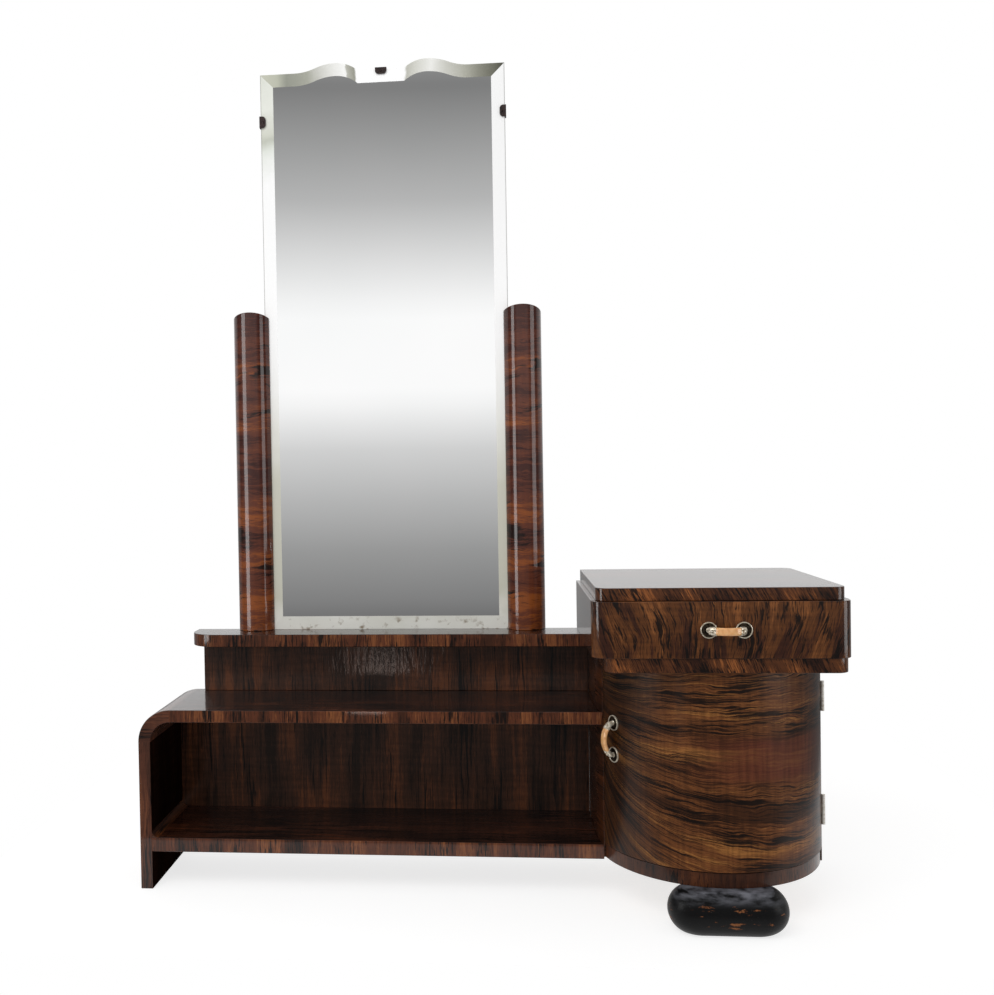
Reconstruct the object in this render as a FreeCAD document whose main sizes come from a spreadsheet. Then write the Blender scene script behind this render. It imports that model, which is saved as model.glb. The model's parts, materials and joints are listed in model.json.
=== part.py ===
import FreeCAD, Part
import math
import os
from types import SimpleNamespace

import Sketcher

# Dressing table with mirror. Lengths in millimetres, angles in degrees.
# +X runs to the right, -Y to the front and +Z up. The origin is on the floor, in the middle of
# the whole piece. Most heights are counted from the floor, most depths from the drawer front.

SIZES = {
    # Whole piece
    "total_width": 1418.0,
    "total_depth": 405.0,
    # Low shelf unit on the left
    "panel_thick": 26.0,
    "shelf_setback": 177.0,
    "foot_height": 84.0,
    "shelf_drop": 4.0,
    "lower_top_height": 382.0,
    "waterfall_radius": 68.0,
    "cove_radius": 14.0,
    "back_thick": 8.0,
    "scribe_gap": 0.2,
    # Raised step that carries the mirror
    "riser_height": 112.5,
    "riser_thick": 16.0,
    "riser_inset": 15.0,
    "plank_thick": 27.5,
    "plank_left": 72.0,
    "plank_depth": 93.0,
    "plank_corner": 58.0,
    # Half round columns
    "column_radius": 43.0,
    "column_left": 170.0,
    "column_box_gap": 70.0,
    "column_height": 726.0,
    "column_slope": 15.0,
    # Mirror
    "mirror_height": 1270.0,
    "mirror_overlap": 12.5,
    "glass_thick": 5.0,
    "bevel_width": 30.0,
    "bevel_drop": 2.0,
    "hump_rise": 18.8,
    "board_thick": 7.0,
    "board_inset": 6.0,
    "rebate_gap": 0.3,
    "clip_length": 26.0,
    "clip_width": 12.0,
    "clip_thick": 2.5,
    "clip_drop": 108.0,
    "clip_corner": 8.0,
    "clip_screw_radius": 2.6,
    # Round fronted cabinet
    "cabinet_radius": 226.0,
    "cabinet_setback": 20.0,
    "cabinet_wall": 18.0,
    "cabinet_floor": 28.0,
    "band_recess": 3.0,
    "band_thick": 4.0,
    "door_thick": 18.0,
    "door_half_angle": 72.0,
    "door_gap": 2.0,
    "door_side_gap": 3.0,
    "inner_shelf_height": 300.0,
    "inner_shelf_thick": 16.0,
    "inner_shelf_gap": 6.0,
    "cleat_size": 14.0,
    "cleat_length": 130.0,
    "door_stop_size": 18.0,
    "door_stop_gap": 0.5,
    "door_stop_angle": 6.0,
    # Drawer box
    "box_height": 107.0,
    "box_wall": 16.0,
    "box_overhang": 23.0,
    "box_bottom_thick": 8.0,
    "apron_inset": 4.0,
    "slab_thick": 24.5,
    "slab_inset": 9.0,
    "front_corner": 25.0,
    "slab_corner": 22.0,
    # Drawer
    "drawer_front_thick": 26.5,
    "drawer_gap": 0.3,
    "drawer_length": 340.0,
    "drawer_side_height": 80.0,
    "drawer_side_thick": 12.0,
    "drawer_bottom_thick": 5.0,
    "drawer_bottom_lift": 3.0,
    "guide_width": 6.0,
    "guide_height": 12.0,
    "stop_depth": 14.0,
    "stop_width": 60.0,
    # Feet
    "foot_width": 224.0,
    "foot_depth": 96.0,
    "foot_corner": 47.0,
    "foot_rounding": 36.0,
    "foot_front": 15.0,
    "rear_foot_width": 260.0,
    "rear_foot_depth": 60.0,
    "rear_foot_inset": 12.0,
    # Bow handles
    "handle_spacing": 64.0,
    "handle_reach": 28.0,
    "handle_end_reach": 8.0,
    "handle_shift": 8.0,
    "rosette_radius": 15.5,
    "rosette_thick": 3.0,
    "rosette_dish": 1.2,
    "rosette_rim": 2.2,
    "grip_width": 15.0,
    "grip_thick": 8.0,
    "grip_half_length": 21.0,
    "ferrule_extra": 1.0,
    "post_radius": 4.0,
    "stud_radius": 2.8,
    "door_handle_height": 338.0,
    "door_handle_angle": 61.0,
    # Door hinges
    "hinge_height": 60.0,
    "hinge_inset": 45.0,
    "knuckle_radius": 3.5,
    "knuckle_gap": 0.4,
    "pin_radius": 1.5,
    "pin_play": 0.06,
    "leaf_thick": 1.2,
    "leaf_width": 14.0,
    # Cuts run past their piece by this much
    "overrun": 5.0,
}

# The knuckles share a hinge's height between them
KNUCKLE_SHARE = 1 / 3
# Places along the wavy top of the mirror, counted from its middle as shares of half its width:
# where the dip between the humps ends, the crest of a hump, and the end of its outer slope
DIP_SHARE = 0.1903
CREST_SHARE = 0.3734
REACH_SHARE = 0.7145
# A concave and a convex arc share the outer slope of a hump
SLOPE_SHARE = 1 / 2
# A point counts as being at a corner within this share of the piece's diagonal
NEAR_SHARE = 0.001


class Size:
    """A length or an angle: its number, and the sheet expression that gives it."""

    def __init__(self, value, text):
        self.value = value
        self.text = text

    def __add__(self, other):
        other = as_size(other)
        return Size(self.value + other.value, f"({self.text} + {other.text})")

    def __sub__(self, other):
        other = as_size(other)
        return Size(self.value - other.value, f"({self.text} - {other.text})")

    def __mul__(self, other):
        other = as_size(other)
        return Size(self.value * other.value, f"({self.text} * {other.text})")

    def __truediv__(self, other):
        other = as_size(other)
        return Size(self.value / other.value, f"({self.text} / {other.text})")

    def __neg__(self):
        return Size(-self.value, f"(0 - {self.text})")


def as_size(number):
    """Give a plain number the form of a size."""
    return number if isinstance(number, Size) else Size(float(number), repr(float(number)))


def root(size):
    """Square root of a size."""
    return Size(math.sqrt(size.value), f"sqrt({size.text})")


def sine(angle):
    """Sine of an angle in degrees."""
    return Size(math.sin(math.radians(angle.value)), f"sin({angle.text} * 1 deg)")


def cosine(angle):
    """Cosine of an angle in degrees."""
    return Size(math.cos(math.radians(angle.value)), f"cos({angle.text} * 1 deg)")


def arc_angle(length, radius):
    """Angle in degrees that a length takes up along a circle."""
    share = length / radius
    return Size(math.degrees(share.value), f"({share.text} * 180 / pi)")


def arc_sine(ratio):
    """Angle in degrees that has this sine."""
    return Size(math.degrees(math.asin(ratio.value)), f"(asin({ratio.text}) / 1 deg)")


def make_sheet(doc):
    """Write the driving sizes into the document's sheet and return them by name."""
    sheet = doc.addObject("Spreadsheet::Sheet", "Sizes")
    sizes = SimpleNamespace()
    for row, (name, value) in enumerate(SIZES.items(), start=1):
        sheet.set(f"A{row}", name)
        sheet.set(f"B{row}", str(value))
        sheet.setAlias(f"B{row}", name)
        setattr(sizes, name, Size(value, f"Sizes.{name}"))
    doc.recompute()
    return sizes


DOC = FreeCAD.newDocument("dressing_table")
S = make_sheet(DOC)
ZERO = as_size(0)
PIECES = {}

# Places that several pieces share, in the frame of the whole piece
LEFT = -S.total_width / 2
RIGHT = S.total_width / 2
FRONT = (S.handle_reach - S.total_depth) / 2
BACK = FRONT + S.total_depth
SHELF_FRONT = FRONT + S.shelf_setback
INNER_BACK = BACK - S.back_thick
SHELF_TOP = S.foot_height + S.panel_thick
LOWER_TOP_UNDER = S.lower_top_height - S.panel_thick
PLANK_UNDER = S.lower_top_height + S.riser_height
PLANK_TOP = PLANK_UNDER + S.plank_thick
PLANK_LEFT = LEFT + S.plank_left
PLANK_FRONT = BACK - S.plank_depth
CABINET_X = RIGHT - S.cabinet_radius
CABINET_Y = FRONT + S.cabinet_setback + S.cabinet_radius
CABINET_BASE = S.foot_height + S.cabinet_floor
CABINET_INNER = S.cabinet_radius - S.cabinet_wall
FRONT_ANGLE = as_size(270)
SIDE_EDGE_ANGLE = S.door_half_angle + arc_angle(S.door_side_gap / 2, S.cabinet_radius)
SCRIBE_RADIUS = S.cabinet_radius + S.scribe_gap
FLANK_X = CABINET_X - SCRIBE_RADIUS
BOX_LEFT = CABINET_X - S.cabinet_radius - S.box_overhang
BOX_FRONT = FRONT + S.drawer_front_thick + S.drawer_gap
BOX_TOP = PLANK_TOP + S.box_height
BOX_INNER_LEFT = BOX_LEFT + S.box_wall
BOX_INNER_RIGHT = RIGHT - S.box_wall
BOX_BACK_FRONT = BACK - S.box_wall
LEFT_COLUMN_X = LEFT + S.column_left + S.column_radius
RIGHT_COLUMN_X = BOX_LEFT - S.column_box_gap - S.column_radius
MIRROR_X = (LEFT_COLUMN_X + RIGHT_COLUMN_X) / 2
MIRROR_HALF = (RIGHT_COLUMN_X - LEFT_COLUMN_X) / 2 - S.column_radius + S.mirror_overlap
GLASS_BACK = BACK - S.board_thick


def bind(thing, **sizes):
    """Bind properties of an object to sizes of the sheet."""
    for name, size in sizes.items():
        thing.setExpression(name, size.text)
    return thing


def place(thing, x=ZERO, y=ZERO, z=ZERO, turn=None):
    """Bind an object's place, and its turn about the vertical where it has one."""
    if turn is not None:
        thing.Placement.Rotation = FreeCAD.Rotation(FreeCAD.Vector(0, 0, 1), turn.value)
        thing.setExpression("Placement.Rotation.Angle", turn.text)
    thing.setExpression("Placement.Base.x", x.text)
    thing.setExpression("Placement.Base.y", y.text)
    thing.setExpression("Placement.Base.z", z.text)
    return thing


def keep(name, thing):
    """Make an object one of the sub-parts, under its own name."""
    thing.Label = name
    PIECES[name] = thing
    return thing


def new_body(name):
    """Start a body for one sub-part."""
    body = DOC.addObject("PartDesign::Body", name)
    body.Label = name
    return body


def new_sketch(body, plane, offset=None):
    """Start a sketch on one of a body's own origin planes, moved along its normal by offset."""
    sketch = body.newObject("Sketcher::SketchObject", f"{body.Name}_sketch")
    support = next(part for part in body.Origin.OriginFeatures if part.Role == plane)
    sketch.AttachmentSupport = (support, [""])
    sketch.MapMode = "FlatFace"
    if offset is not None:
        sketch.setExpression("AttachmentOffset.Base.z", offset.text)
    return sketch


def fix_point(sketch, edge, end, corner, free):
    """Hold the start or end of an edge at a corner, but for a coordinate that an arc sets."""
    for axis, size in zip("XY", corner):
        if axis == free:
            continue
        number = sketch.addConstraint(Sketcher.Constraint(f"Distance{axis}", edge, end, size.value))
        sketch.setExpression(f"Constraints[{number}]", size.text)


def draw_arc(start, end, centre, clockwise):
    """Arc about a centre. The sketch keeps arcs anticlockwise, so a clockwise one is turned."""
    middle = FreeCAD.Vector(centre[0].value, centre[1].value, 0)
    first, last = (end, start) if clockwise else (start, end)
    spokes = [FreeCAD.Vector(x.value, y.value, 0) - middle for x, y in (first, last)]
    angles = [math.atan2(spoke.y, spoke.x) for spoke in spokes]
    circle = Part.Circle(middle, FreeCAD.Vector(0, 0, 1), spokes[0].Length)
    return Part.ArcOfCircle(circle, *angles)


def draw_outline(sketch, corners, arcs=None):
    """Draw a closed outline of lines and arcs through the corners.

    An entry of arcs, by the number of the corner that the arc starts from, holds the arc's
    centre, whether it runs clockwise, and the coordinate of its end that the arc itself sets.
    """
    arcs = arcs or {}
    ends = []
    count = len(corners)
    for number, start in enumerate(corners):
        end = corners[(number + 1) % count]
        if number in arcs:
            centre, clockwise, _ = arcs[number]
            edge = sketch.addGeometry(draw_arc(start, end, centre, clockwise))
            ends.append((edge, 2, 1) if clockwise else (edge, 1, 2))
        else:
            points = [FreeCAD.Vector(x.value, y.value, 0) for x, y in (start, end)]
            ends.append((sketch.addGeometry(Part.LineSegment(*points)), 1, 2))
    for number, (edge, _, finish) in enumerate(ends):
        follower, begin, _ = ends[(number + 1) % count]
        sketch.addConstraint(Sketcher.Constraint("Coincident", edge, finish, follower, begin))
    for number, (edge, begin, _) in enumerate(ends):
        before = arcs.get((number - 1) % count)
        fix_point(sketch, edge, begin, corners[number], before[2] if before else None)
        if number in arcs:
            fix_point(sketch, edge, 3, arcs[number][0], None)


def pad(body, sketch, length):
    """Pad a sketch along its normal."""
    feature = body.newObject("PartDesign::Pad", f"{body.Name}_pad")
    feature.Profile = sketch
    bind(feature, Length=length)
    sketch.Visibility = False
    return feature


def cut_through(body, sketch):
    """Cut a sketch through the whole body, both ways."""
    feature = body.newObject("PartDesign::Pocket", f"{body.Name}_cut")
    feature.Profile = sketch
    feature.Type = "ThroughAll"
    feature.SideType = "Symmetric"
    return feature


def revolve(body, sketch, axis, angle=None):
    """Turn a sketch about one of its own axes, all the way or evenly both ways by half an angle."""
    feature = body.newObject("PartDesign::Revolution", f"{body.Name}_revolution")
    feature.Profile = sketch
    feature.ReferenceAxis = (sketch, [axis])
    if angle is not None:
        feature.Midplane = True
        bind(feature, Angle=angle)
    return feature


def round_edges(body, radius, chosen):
    """Round the edges of a body that a test chooses."""
    DOC.recompute()
    base = body.Tip
    names = [f"Edge{n}" for n, edge in enumerate(base.Shape.Edges, start=1) if chosen(edge, base.Shape)]
    feature = body.newObject("PartDesign::Fillet", f"{body.Name}_fillet")
    feature.Base = (base, names)
    bind(feature, Radius=radius)
    return feature


def rectangle(width, height):
    """Corners of a rectangle that starts at the origin."""
    return [(ZERO, ZERO), (width, ZERO), (width, height), (ZERO, height)]


def board(name, low, high):
    """A plain board between two opposite corners."""
    body = new_body(name)
    width, depth, height = (top - bottom for bottom, top in zip(low, high))
    sketch = new_sketch(body, "XY_Plane")
    draw_outline(sketch, rectangle(width, depth))
    pad(body, sketch, height)
    place(body, *low)
    return keep(name, body)


def block(name, low, high):
    """A plain box used inside a boolean."""
    box = DOC.addObject("Part::Box", name)
    width, depth, height = (top - bottom for bottom, top in zip(low, high))
    bind(box, Length=width, Width=depth, Height=height)
    return place(box, *low)


def rounded_plate(name, low, high, radius, corners):
    """A board whose named vertical corners are round."""
    body = new_body(name)
    width, depth, height = (top - bottom for bottom, top in zip(low, high))
    sketch = new_sketch(body, "XY_Plane")
    draw_outline(sketch, rectangle(width, depth))
    pad(body, sketch, height)
    sides = {
        "front_left": (ZERO, ZERO),
        "front_right": (width, ZERO),
        "back_right": (width, depth),
    }

    def chosen(edge, shape):
        middle = edge.BoundBox.Center
        upright = edge.BoundBox.ZLength > shape.BoundBox.ZLength / 2
        near = shape.BoundBox.DiagonalLength * NEAR_SHARE
        spots = [sides[corner] for corner in corners]
        return upright and any(math.hypot(middle.x - x.value, middle.y - y.value) < near for x, y in spots)

    round_edges(body, radius, chosen)
    place(body, *low)
    return keep(name, body)


def mirrored_pair(name, half):
    """Two separate solids, one the mirror image of the other across the local X = 0."""
    other = DOC.addObject("Part::Mirroring", f"{name}_other")
    other.Source = half
    other.Normal = FreeCAD.Vector(1, 0, 0)
    pair = DOC.addObject("Part::Compound", name)
    pair.Links = [half, other]
    return keep(name, pair)


def group(name, members):
    """Several separate solids as one sub-part."""
    compound = DOC.addObject("Part::Compound", name)
    compound.Links = members
    return keep(name, compound)


def scribed_board(name, left, back, low, thick):
    """Board of the shelf unit whose right end is scribed to the round flank of the cabinet."""
    body = new_body(name)
    sketch = new_sketch(body, "XY_Plane")
    drop = CABINET_Y - SHELF_FRONT
    reach = root(SCRIBE_RADIUS * SCRIBE_RADIUS - drop * drop)
    width = FLANK_X - left
    depth = back - SHELF_FRONT
    corners = [(ZERO, ZERO), (CABINET_X - reach - left, ZERO), (width, drop), (width, depth), (ZERO, depth)]
    draw_outline(sketch, corners, {1: ((CABINET_X - left, drop), True, "X")})
    pad(body, sketch, thick)
    place(body, left, SHELF_FRONT, low)
    return keep(name, body)


def make_shelf_unit():
    """Low open unit: one side to the floor, rolled corner, top, bottom, cove and back."""
    top_left = LEFT + S.waterfall_radius
    corner_height = S.lower_top_height - S.waterfall_radius
    inner_left = LEFT + S.panel_thick
    board("left_side_panel", (LEFT, SHELF_FRONT, ZERO), (inner_left, BACK, corner_height))
    make_waterfall_corner(top_left, corner_height)
    scribed_board("lower_top", top_left, BACK, LOWER_TOP_UNDER, S.panel_thick)
    shelf_under = S.foot_height - S.shelf_drop
    scribed_board("bottom_shelf", inner_left, INNER_BACK, shelf_under, SHELF_TOP - shelf_under)
    make_cove(inner_left)
    make_niche_back(inner_left)


def make_niche_back(inner_left):
    """Back of the niche, with its upper left corner rounded to fit under the rolled corner."""
    body = new_body("niche_back_panel")
    sketch = new_sketch(body, "XZ_Plane")
    width = FLANK_X - inner_left
    height = LOWER_TOP_UNDER - S.foot_height
    corner = S.waterfall_radius - S.panel_thick
    corners = [(ZERO, ZERO), (width, ZERO), (width, height), (corner, height), (ZERO, height - corner)]
    draw_outline(sketch, corners, {3: ((corner, height - corner), False, "X")})
    pad(body, sketch, S.back_thick)
    place(body, inner_left, BACK, S.foot_height)
    keep("niche_back_panel", body)


def make_waterfall_corner(centre_x, centre_z):
    """Quarter turn that rolls the side panel over into the lower top."""
    body = new_body("waterfall_corner")
    sketch = new_sketch(body, "XY_Plane")
    inner = S.waterfall_radius - S.panel_thick
    depth = BACK - SHELF_FRONT
    corners = [(-S.waterfall_radius, ZERO), (-inner, ZERO), (-inner, depth), (-S.waterfall_radius, depth)]
    draw_outline(sketch, corners)
    feature = body.newObject("PartDesign::Revolution", "waterfall_corner_revolution")
    feature.Profile = sketch
    feature.ReferenceAxis = (sketch, ["V_Axis"])
    feature.Angle = 90
    place(body, centre_x, SHELF_FRONT, centre_z)
    keep("waterfall_corner", body)


def make_cove(inner_left):
    """Small hollow moulding in the niche's lower left corner."""
    body = new_body("niche_cove")
    radius = S.cove_radius
    sketch = new_sketch(body, "XZ_Plane")
    draw_outline(sketch, [(ZERO, ZERO), (radius, ZERO), (ZERO, radius)], {1: ((radius, radius), True, "X")})
    pad(body, sketch, INNER_BACK - SHELF_FRONT - S.scribe_gap)
    place(body, inner_left, INNER_BACK, SHELF_TOP)
    keep("niche_cove", body)


def make_step():
    """Riser panel at the back and the plank that it carries."""
    riser_left = PLANK_LEFT + S.riser_inset
    riser_front = BACK - S.riser_thick
    board("riser_panel", (riser_left, riser_front, S.lower_top_height), (FLANK_X, BACK, PLANK_UNDER))
    body = new_body("mirror_plank")
    sketch = new_sketch(body, "XY_Plane")
    width = FLANK_X - PLANK_LEFT
    corner = S.plank_corner
    corners = [(ZERO, corner), (corner, ZERO), (width, ZERO), (width, S.plank_depth), (ZERO, S.plank_depth)]
    draw_outline(sketch, corners, {0: ((corner, corner), False, "Y")})
    pad(body, sketch, S.plank_thick)
    place(body, PLANK_LEFT, PLANK_FRONT, PLANK_UNDER)
    keep("mirror_plank", body)


def make_column(name, centre_x, inward):
    """Half round column with a top that slopes up to the front and a rebate for the mirror."""
    body = new_body(name)
    radius = S.column_radius
    plan = new_sketch(body, "XY_Plane")
    draw_outline(plan, [(-radius, ZERO), (radius, ZERO)], {0: ((ZERO, ZERO), False, "X")})
    pad(body, plan, S.column_height)
    slope = new_sketch(body, "YZ_Plane")
    shoulder = S.column_height - S.column_slope
    beyond = S.column_height + S.overrun
    corners = [(ZERO, shoulder), (ZERO, beyond), (-radius, beyond), (-radius, S.column_height)]
    draw_outline(slope, corners)
    cut_through(body, slope)
    rebate = new_sketch(body, "XY_Plane")
    start = radius - S.mirror_overlap - S.rebate_gap
    beyond = radius + S.overrun
    front = -(S.board_thick + S.glass_thick + S.rebate_gap)
    draw_outline(rebate, [(start * inward, front), (beyond * inward, front),
                          (beyond * inward, S.overrun), (start * inward, S.overrun)])
    cut_through(body, rebate)
    place(body, centre_x, BACK, PLANK_TOP)
    keep(name, body)


def mirror_outline(inset, lift):
    """Corners and arcs of the mirror, drawn in by inset all round and raised by lift."""
    half = MIRROR_HALF - inset
    top = S.mirror_height - inset
    dip = MIRROR_HALF * DIP_SHARE
    middle = MIRROR_HALF * CREST_SHARE
    reach = MIRROR_HALF * REACH_SHARE
    step = (reach - middle) * SLOPE_SHARE
    rise = S.hump_rise * SLOPE_SHARE
    outer = (step * step + rise * rise) / (rise * 2)
    fall = middle - dip
    inner = (fall * fall + S.hump_rise * S.hump_rise) / (S.hump_rise * 2)
    crest = top + S.hump_rise
    corners = [(-half, inset), (half, inset), (half, top), (reach, top)]
    corners += [(middle + step, top + rise), (middle, crest), (dip, top)]
    corners += [(-dip, top), (-middle, crest), (-(middle + step), top + rise)]
    corners += [(-reach, top), (-half, top)]
    arcs = {
        3: ((reach, top + outer), True, "Y"),
        4: ((middle, crest - outer), False, "Y"),
        5: ((middle, crest - inner), False, "Y"),
        7: ((-middle, crest - inner), False, "Y"),
        8: ((-middle, crest - outer), False, "Y"),
        9: ((-reach, top + outer), True, "Y"),
    }
    raised = [(x, z + lift) for x, z in corners]
    moved = {n: ((x, z + lift), turn, free) for n, ((x, z), turn, free) in arcs.items()}
    return raised, moved


def make_mirror():
    """Bevelled glass with a wavy top, its backing board, and the clips that hold them."""
    glass = new_body("mirror_glass")
    full = new_sketch(glass, "XZ_Plane")
    draw_outline(full, *mirror_outline(ZERO, ZERO))
    flat = S.glass_thick - S.bevel_drop
    pad(glass, full, flat)
    edge = new_sketch(glass, "XZ_Plane", flat)
    draw_outline(edge, *mirror_outline(ZERO, ZERO))
    face = new_sketch(glass, "XZ_Plane", S.glass_thick)
    draw_outline(face, *mirror_outline(S.bevel_width, ZERO))
    bevel = glass.newObject("PartDesign::AdditiveLoft", "mirror_bevel")
    bevel.Profile = edge
    bevel.Sections = [face]
    bevel.Ruled = True
    place(glass, MIRROR_X, GLASS_BACK, PLANK_TOP)
    keep("mirror_glass", glass)
    backing = new_body("mirror_backing_board")
    sketch = new_sketch(backing, "XZ_Plane")
    draw_outline(sketch, *mirror_outline(S.board_inset, -S.board_inset))
    pad(backing, sketch, S.board_thick)
    place(backing, MIRROR_X, BACK, PLANK_TOP)
    keep("mirror_backing_board", backing)
    make_clips()


def make_clip(name, centre_x, edge_z, lean):
    """Angle clip: a flange along the edge of the glass, and a tongue with round corners on its face.

    In its own frame the edge of the glass lies along X, and the glass below it.
    """
    body = new_body(name)
    half = S.clip_length / 2
    corner = S.clip_corner
    low = -S.clip_width
    stack = S.board_thick + S.glass_thick
    flange = new_sketch(body, "XZ_Plane")
    draw_outline(flange, [(-half, ZERO), (half, ZERO), (half, S.clip_thick), (-half, S.clip_thick)])
    pad(body, flange, stack)
    tongue = new_sketch(body, "XZ_Plane", stack)
    corners = [(-half, S.clip_thick), (-half, low + corner), (corner - half, low)]
    corners += [(half - corner, low), (half, low + corner), (half, S.clip_thick)]
    arcs = {
        1: ((corner - half, low + corner), False, "Y"),
        3: ((half - corner, low + corner), False, "X"),
    }
    draw_outline(tongue, corners, arcs)
    pad(body, tongue, S.clip_thick)
    screw = DOC.addObject("Part::Sphere", f"{name}_screw")
    bind(screw, Radius=S.clip_screw_radius)
    screw.Angle1 = 0
    lean_turn = FreeCAD.Rotation(FreeCAD.Vector(0, 1, 0), lean)
    inward = lean_turn.multVec(FreeCAD.Vector(0, 0, -1))
    middle = S.clip_width / 2
    place(screw, centre_x + middle * inward.x, BACK - stack - S.clip_thick, edge_z + middle * inward.z)
    screw.Placement.Rotation = FreeCAD.Rotation(FreeCAD.Vector(1, 0, 0), 90)
    place(body, centre_x, BACK, edge_z)
    body.Placement.Rotation = lean_turn
    return body, screw


def make_clips():
    """Three clips round the edge of the glass, each with the head of its screw."""
    top_z = PLANK_TOP + S.mirror_height
    side_z = top_z - S.clip_drop
    clips = [
        make_clip("clip_left", MIRROR_X - MIRROR_HALF, side_z, -90),
        make_clip("clip_right", MIRROR_X + MIRROR_HALF, side_z, 90),
        make_clip("clip_top", MIRROR_X, top_z, 0),
    ]
    group("mirror_clips", [clip for clip, _ in clips])
    group("clip_screws", [screw for _, screw in clips])


def ring_sector(name, outer, wall, start, span, low, height):
    """Part of a ring about the cabinet's axis. Start is counted anticlockwise from +X."""
    rings = []
    for label, radius in (("outer", outer), ("inner", outer - wall)):
        ring = DOC.addObject("Part::Cylinder", f"{name}_{label}")
        bind(ring, Radius=radius, Height=height, Angle=span)
        rings.append(ring)
    sector = DOC.addObject("Part::Cut", name)
    sector.Base, sector.Tool = rings
    place(sector, CABINET_X, CABINET_Y, low, start)
    return keep(name, sector)


def make_cabinet_side(name, side):
    """Side of the cabinet: round in front, where it carries on the door's curve, then straight."""
    body = new_body(name)
    sketch = new_sketch(body, "XY_Plane")
    outer = S.cabinet_radius
    inner = CABINET_INNER
    length = BACK - CABINET_Y
    corners = [
        (sine(SIDE_EDGE_ANGLE) * outer * side, -(cosine(SIDE_EDGE_ANGLE) * outer)),
        (outer * side, ZERO),
        (outer * side, length),
        (inner * side, length),
        (inner * side, ZERO),
        (sine(SIDE_EDGE_ANGLE) * inner * side, -(cosine(SIDE_EDGE_ANGLE) * inner)),
    ]
    arcs = {
        0: ((ZERO, ZERO), side < 0, "X"),
        4: ((ZERO, ZERO), side > 0, "X"),
    }
    draw_outline(sketch, corners, arcs)
    pad(body, sketch, PLANK_UNDER - S.foot_height)
    place(body, CABINET_X, CABINET_Y, S.foot_height)
    keep(name, body)


def make_cabinet_floor(front_radius):
    """Floor between the cabinet's sides, with a round front that carries the base band."""
    body = new_body("cabinet_bottom")
    sketch = new_sketch(body, "XY_Plane")
    inner = CABINET_INNER
    length = BACK - CABINET_Y
    across, along = sine(SIDE_EDGE_ANGLE), cosine(SIDE_EDGE_ANGLE)
    corners = [
        (-(across * front_radius), -(along * front_radius)),
        (across * front_radius, -(along * front_radius)),
        (across * inner, -(along * inner)),
        (inner, ZERO),
        (inner, length),
        (-inner, length),
        (-inner, ZERO),
        (-(across * inner), -(along * inner)),
    ]
    arc = ((ZERO, ZERO), False, "X")
    draw_outline(sketch, corners, {0: arc, 2: arc, 6: arc})
    pad(body, sketch, S.cabinet_floor)
    place(body, CABINET_X, CABINET_Y, S.foot_height)
    keep("cabinet_bottom", body)


def make_cabinet_shelf():
    """Loose shelf with a half round front, clear of the door."""
    body = new_body("cabinet_shelf")
    sketch = new_sketch(body, "XY_Plane")
    radius = CABINET_INNER - S.inner_shelf_gap
    length = INNER_BACK - CABINET_Y
    corners = [(-radius, ZERO), (radius, ZERO), (radius, length), (-radius, length)]
    draw_outline(sketch, corners, {0: ((ZERO, ZERO), False, "X")})
    pad(body, sketch, S.inner_shelf_thick)
    place(body, CABINET_X, CABINET_Y, S.inner_shelf_height)
    keep("cabinet_shelf", body)


def make_cabinet():
    """Round fronted cabinet under the drawer box."""
    band_radius = S.cabinet_radius - S.band_recess
    make_cabinet_floor(band_radius - S.band_thick)
    band_start = FRONT_ANGLE - SIDE_EDGE_ANGLE
    ring_sector("base_band", band_radius, S.band_thick, band_start, SIDE_EDGE_ANGLE * 2,
                S.foot_height, S.cabinet_floor)
    make_cabinet_side("cabinet_left_side", -1)
    make_cabinet_side("cabinet_right_side", 1)
    inner_left = CABINET_X - CABINET_INNER
    inner_right = CABINET_X + CABINET_INNER
    board("cabinet_back_panel", (inner_left, INNER_BACK, CABINET_BASE), (inner_right, BACK, PLANK_UNDER))
    make_cabinet_shelf()
    cleat_low = S.inner_shelf_height - S.cleat_size
    cleat_front = INNER_BACK - S.cleat_length
    left_cleat = block("cleat_left", (inner_left, cleat_front, cleat_low),
                       (inner_left + S.cleat_size, INNER_BACK, S.inner_shelf_height))
    right_cleat = block("cleat_right", (inner_right - S.cleat_size, cleat_front, cleat_low),
                        (inner_right, INNER_BACK, S.inner_shelf_height))
    group("shelf_cleats", [left_cleat, right_cleat])
    stop_radius = S.cabinet_radius - S.door_thick - S.door_stop_gap
    stop_start = FRONT_ANGLE - S.door_half_angle
    ring_sector("door_stop", stop_radius, S.door_stop_size, stop_start, S.door_stop_angle,
                PLANK_UNDER - S.door_stop_size, S.door_stop_size)


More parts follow.
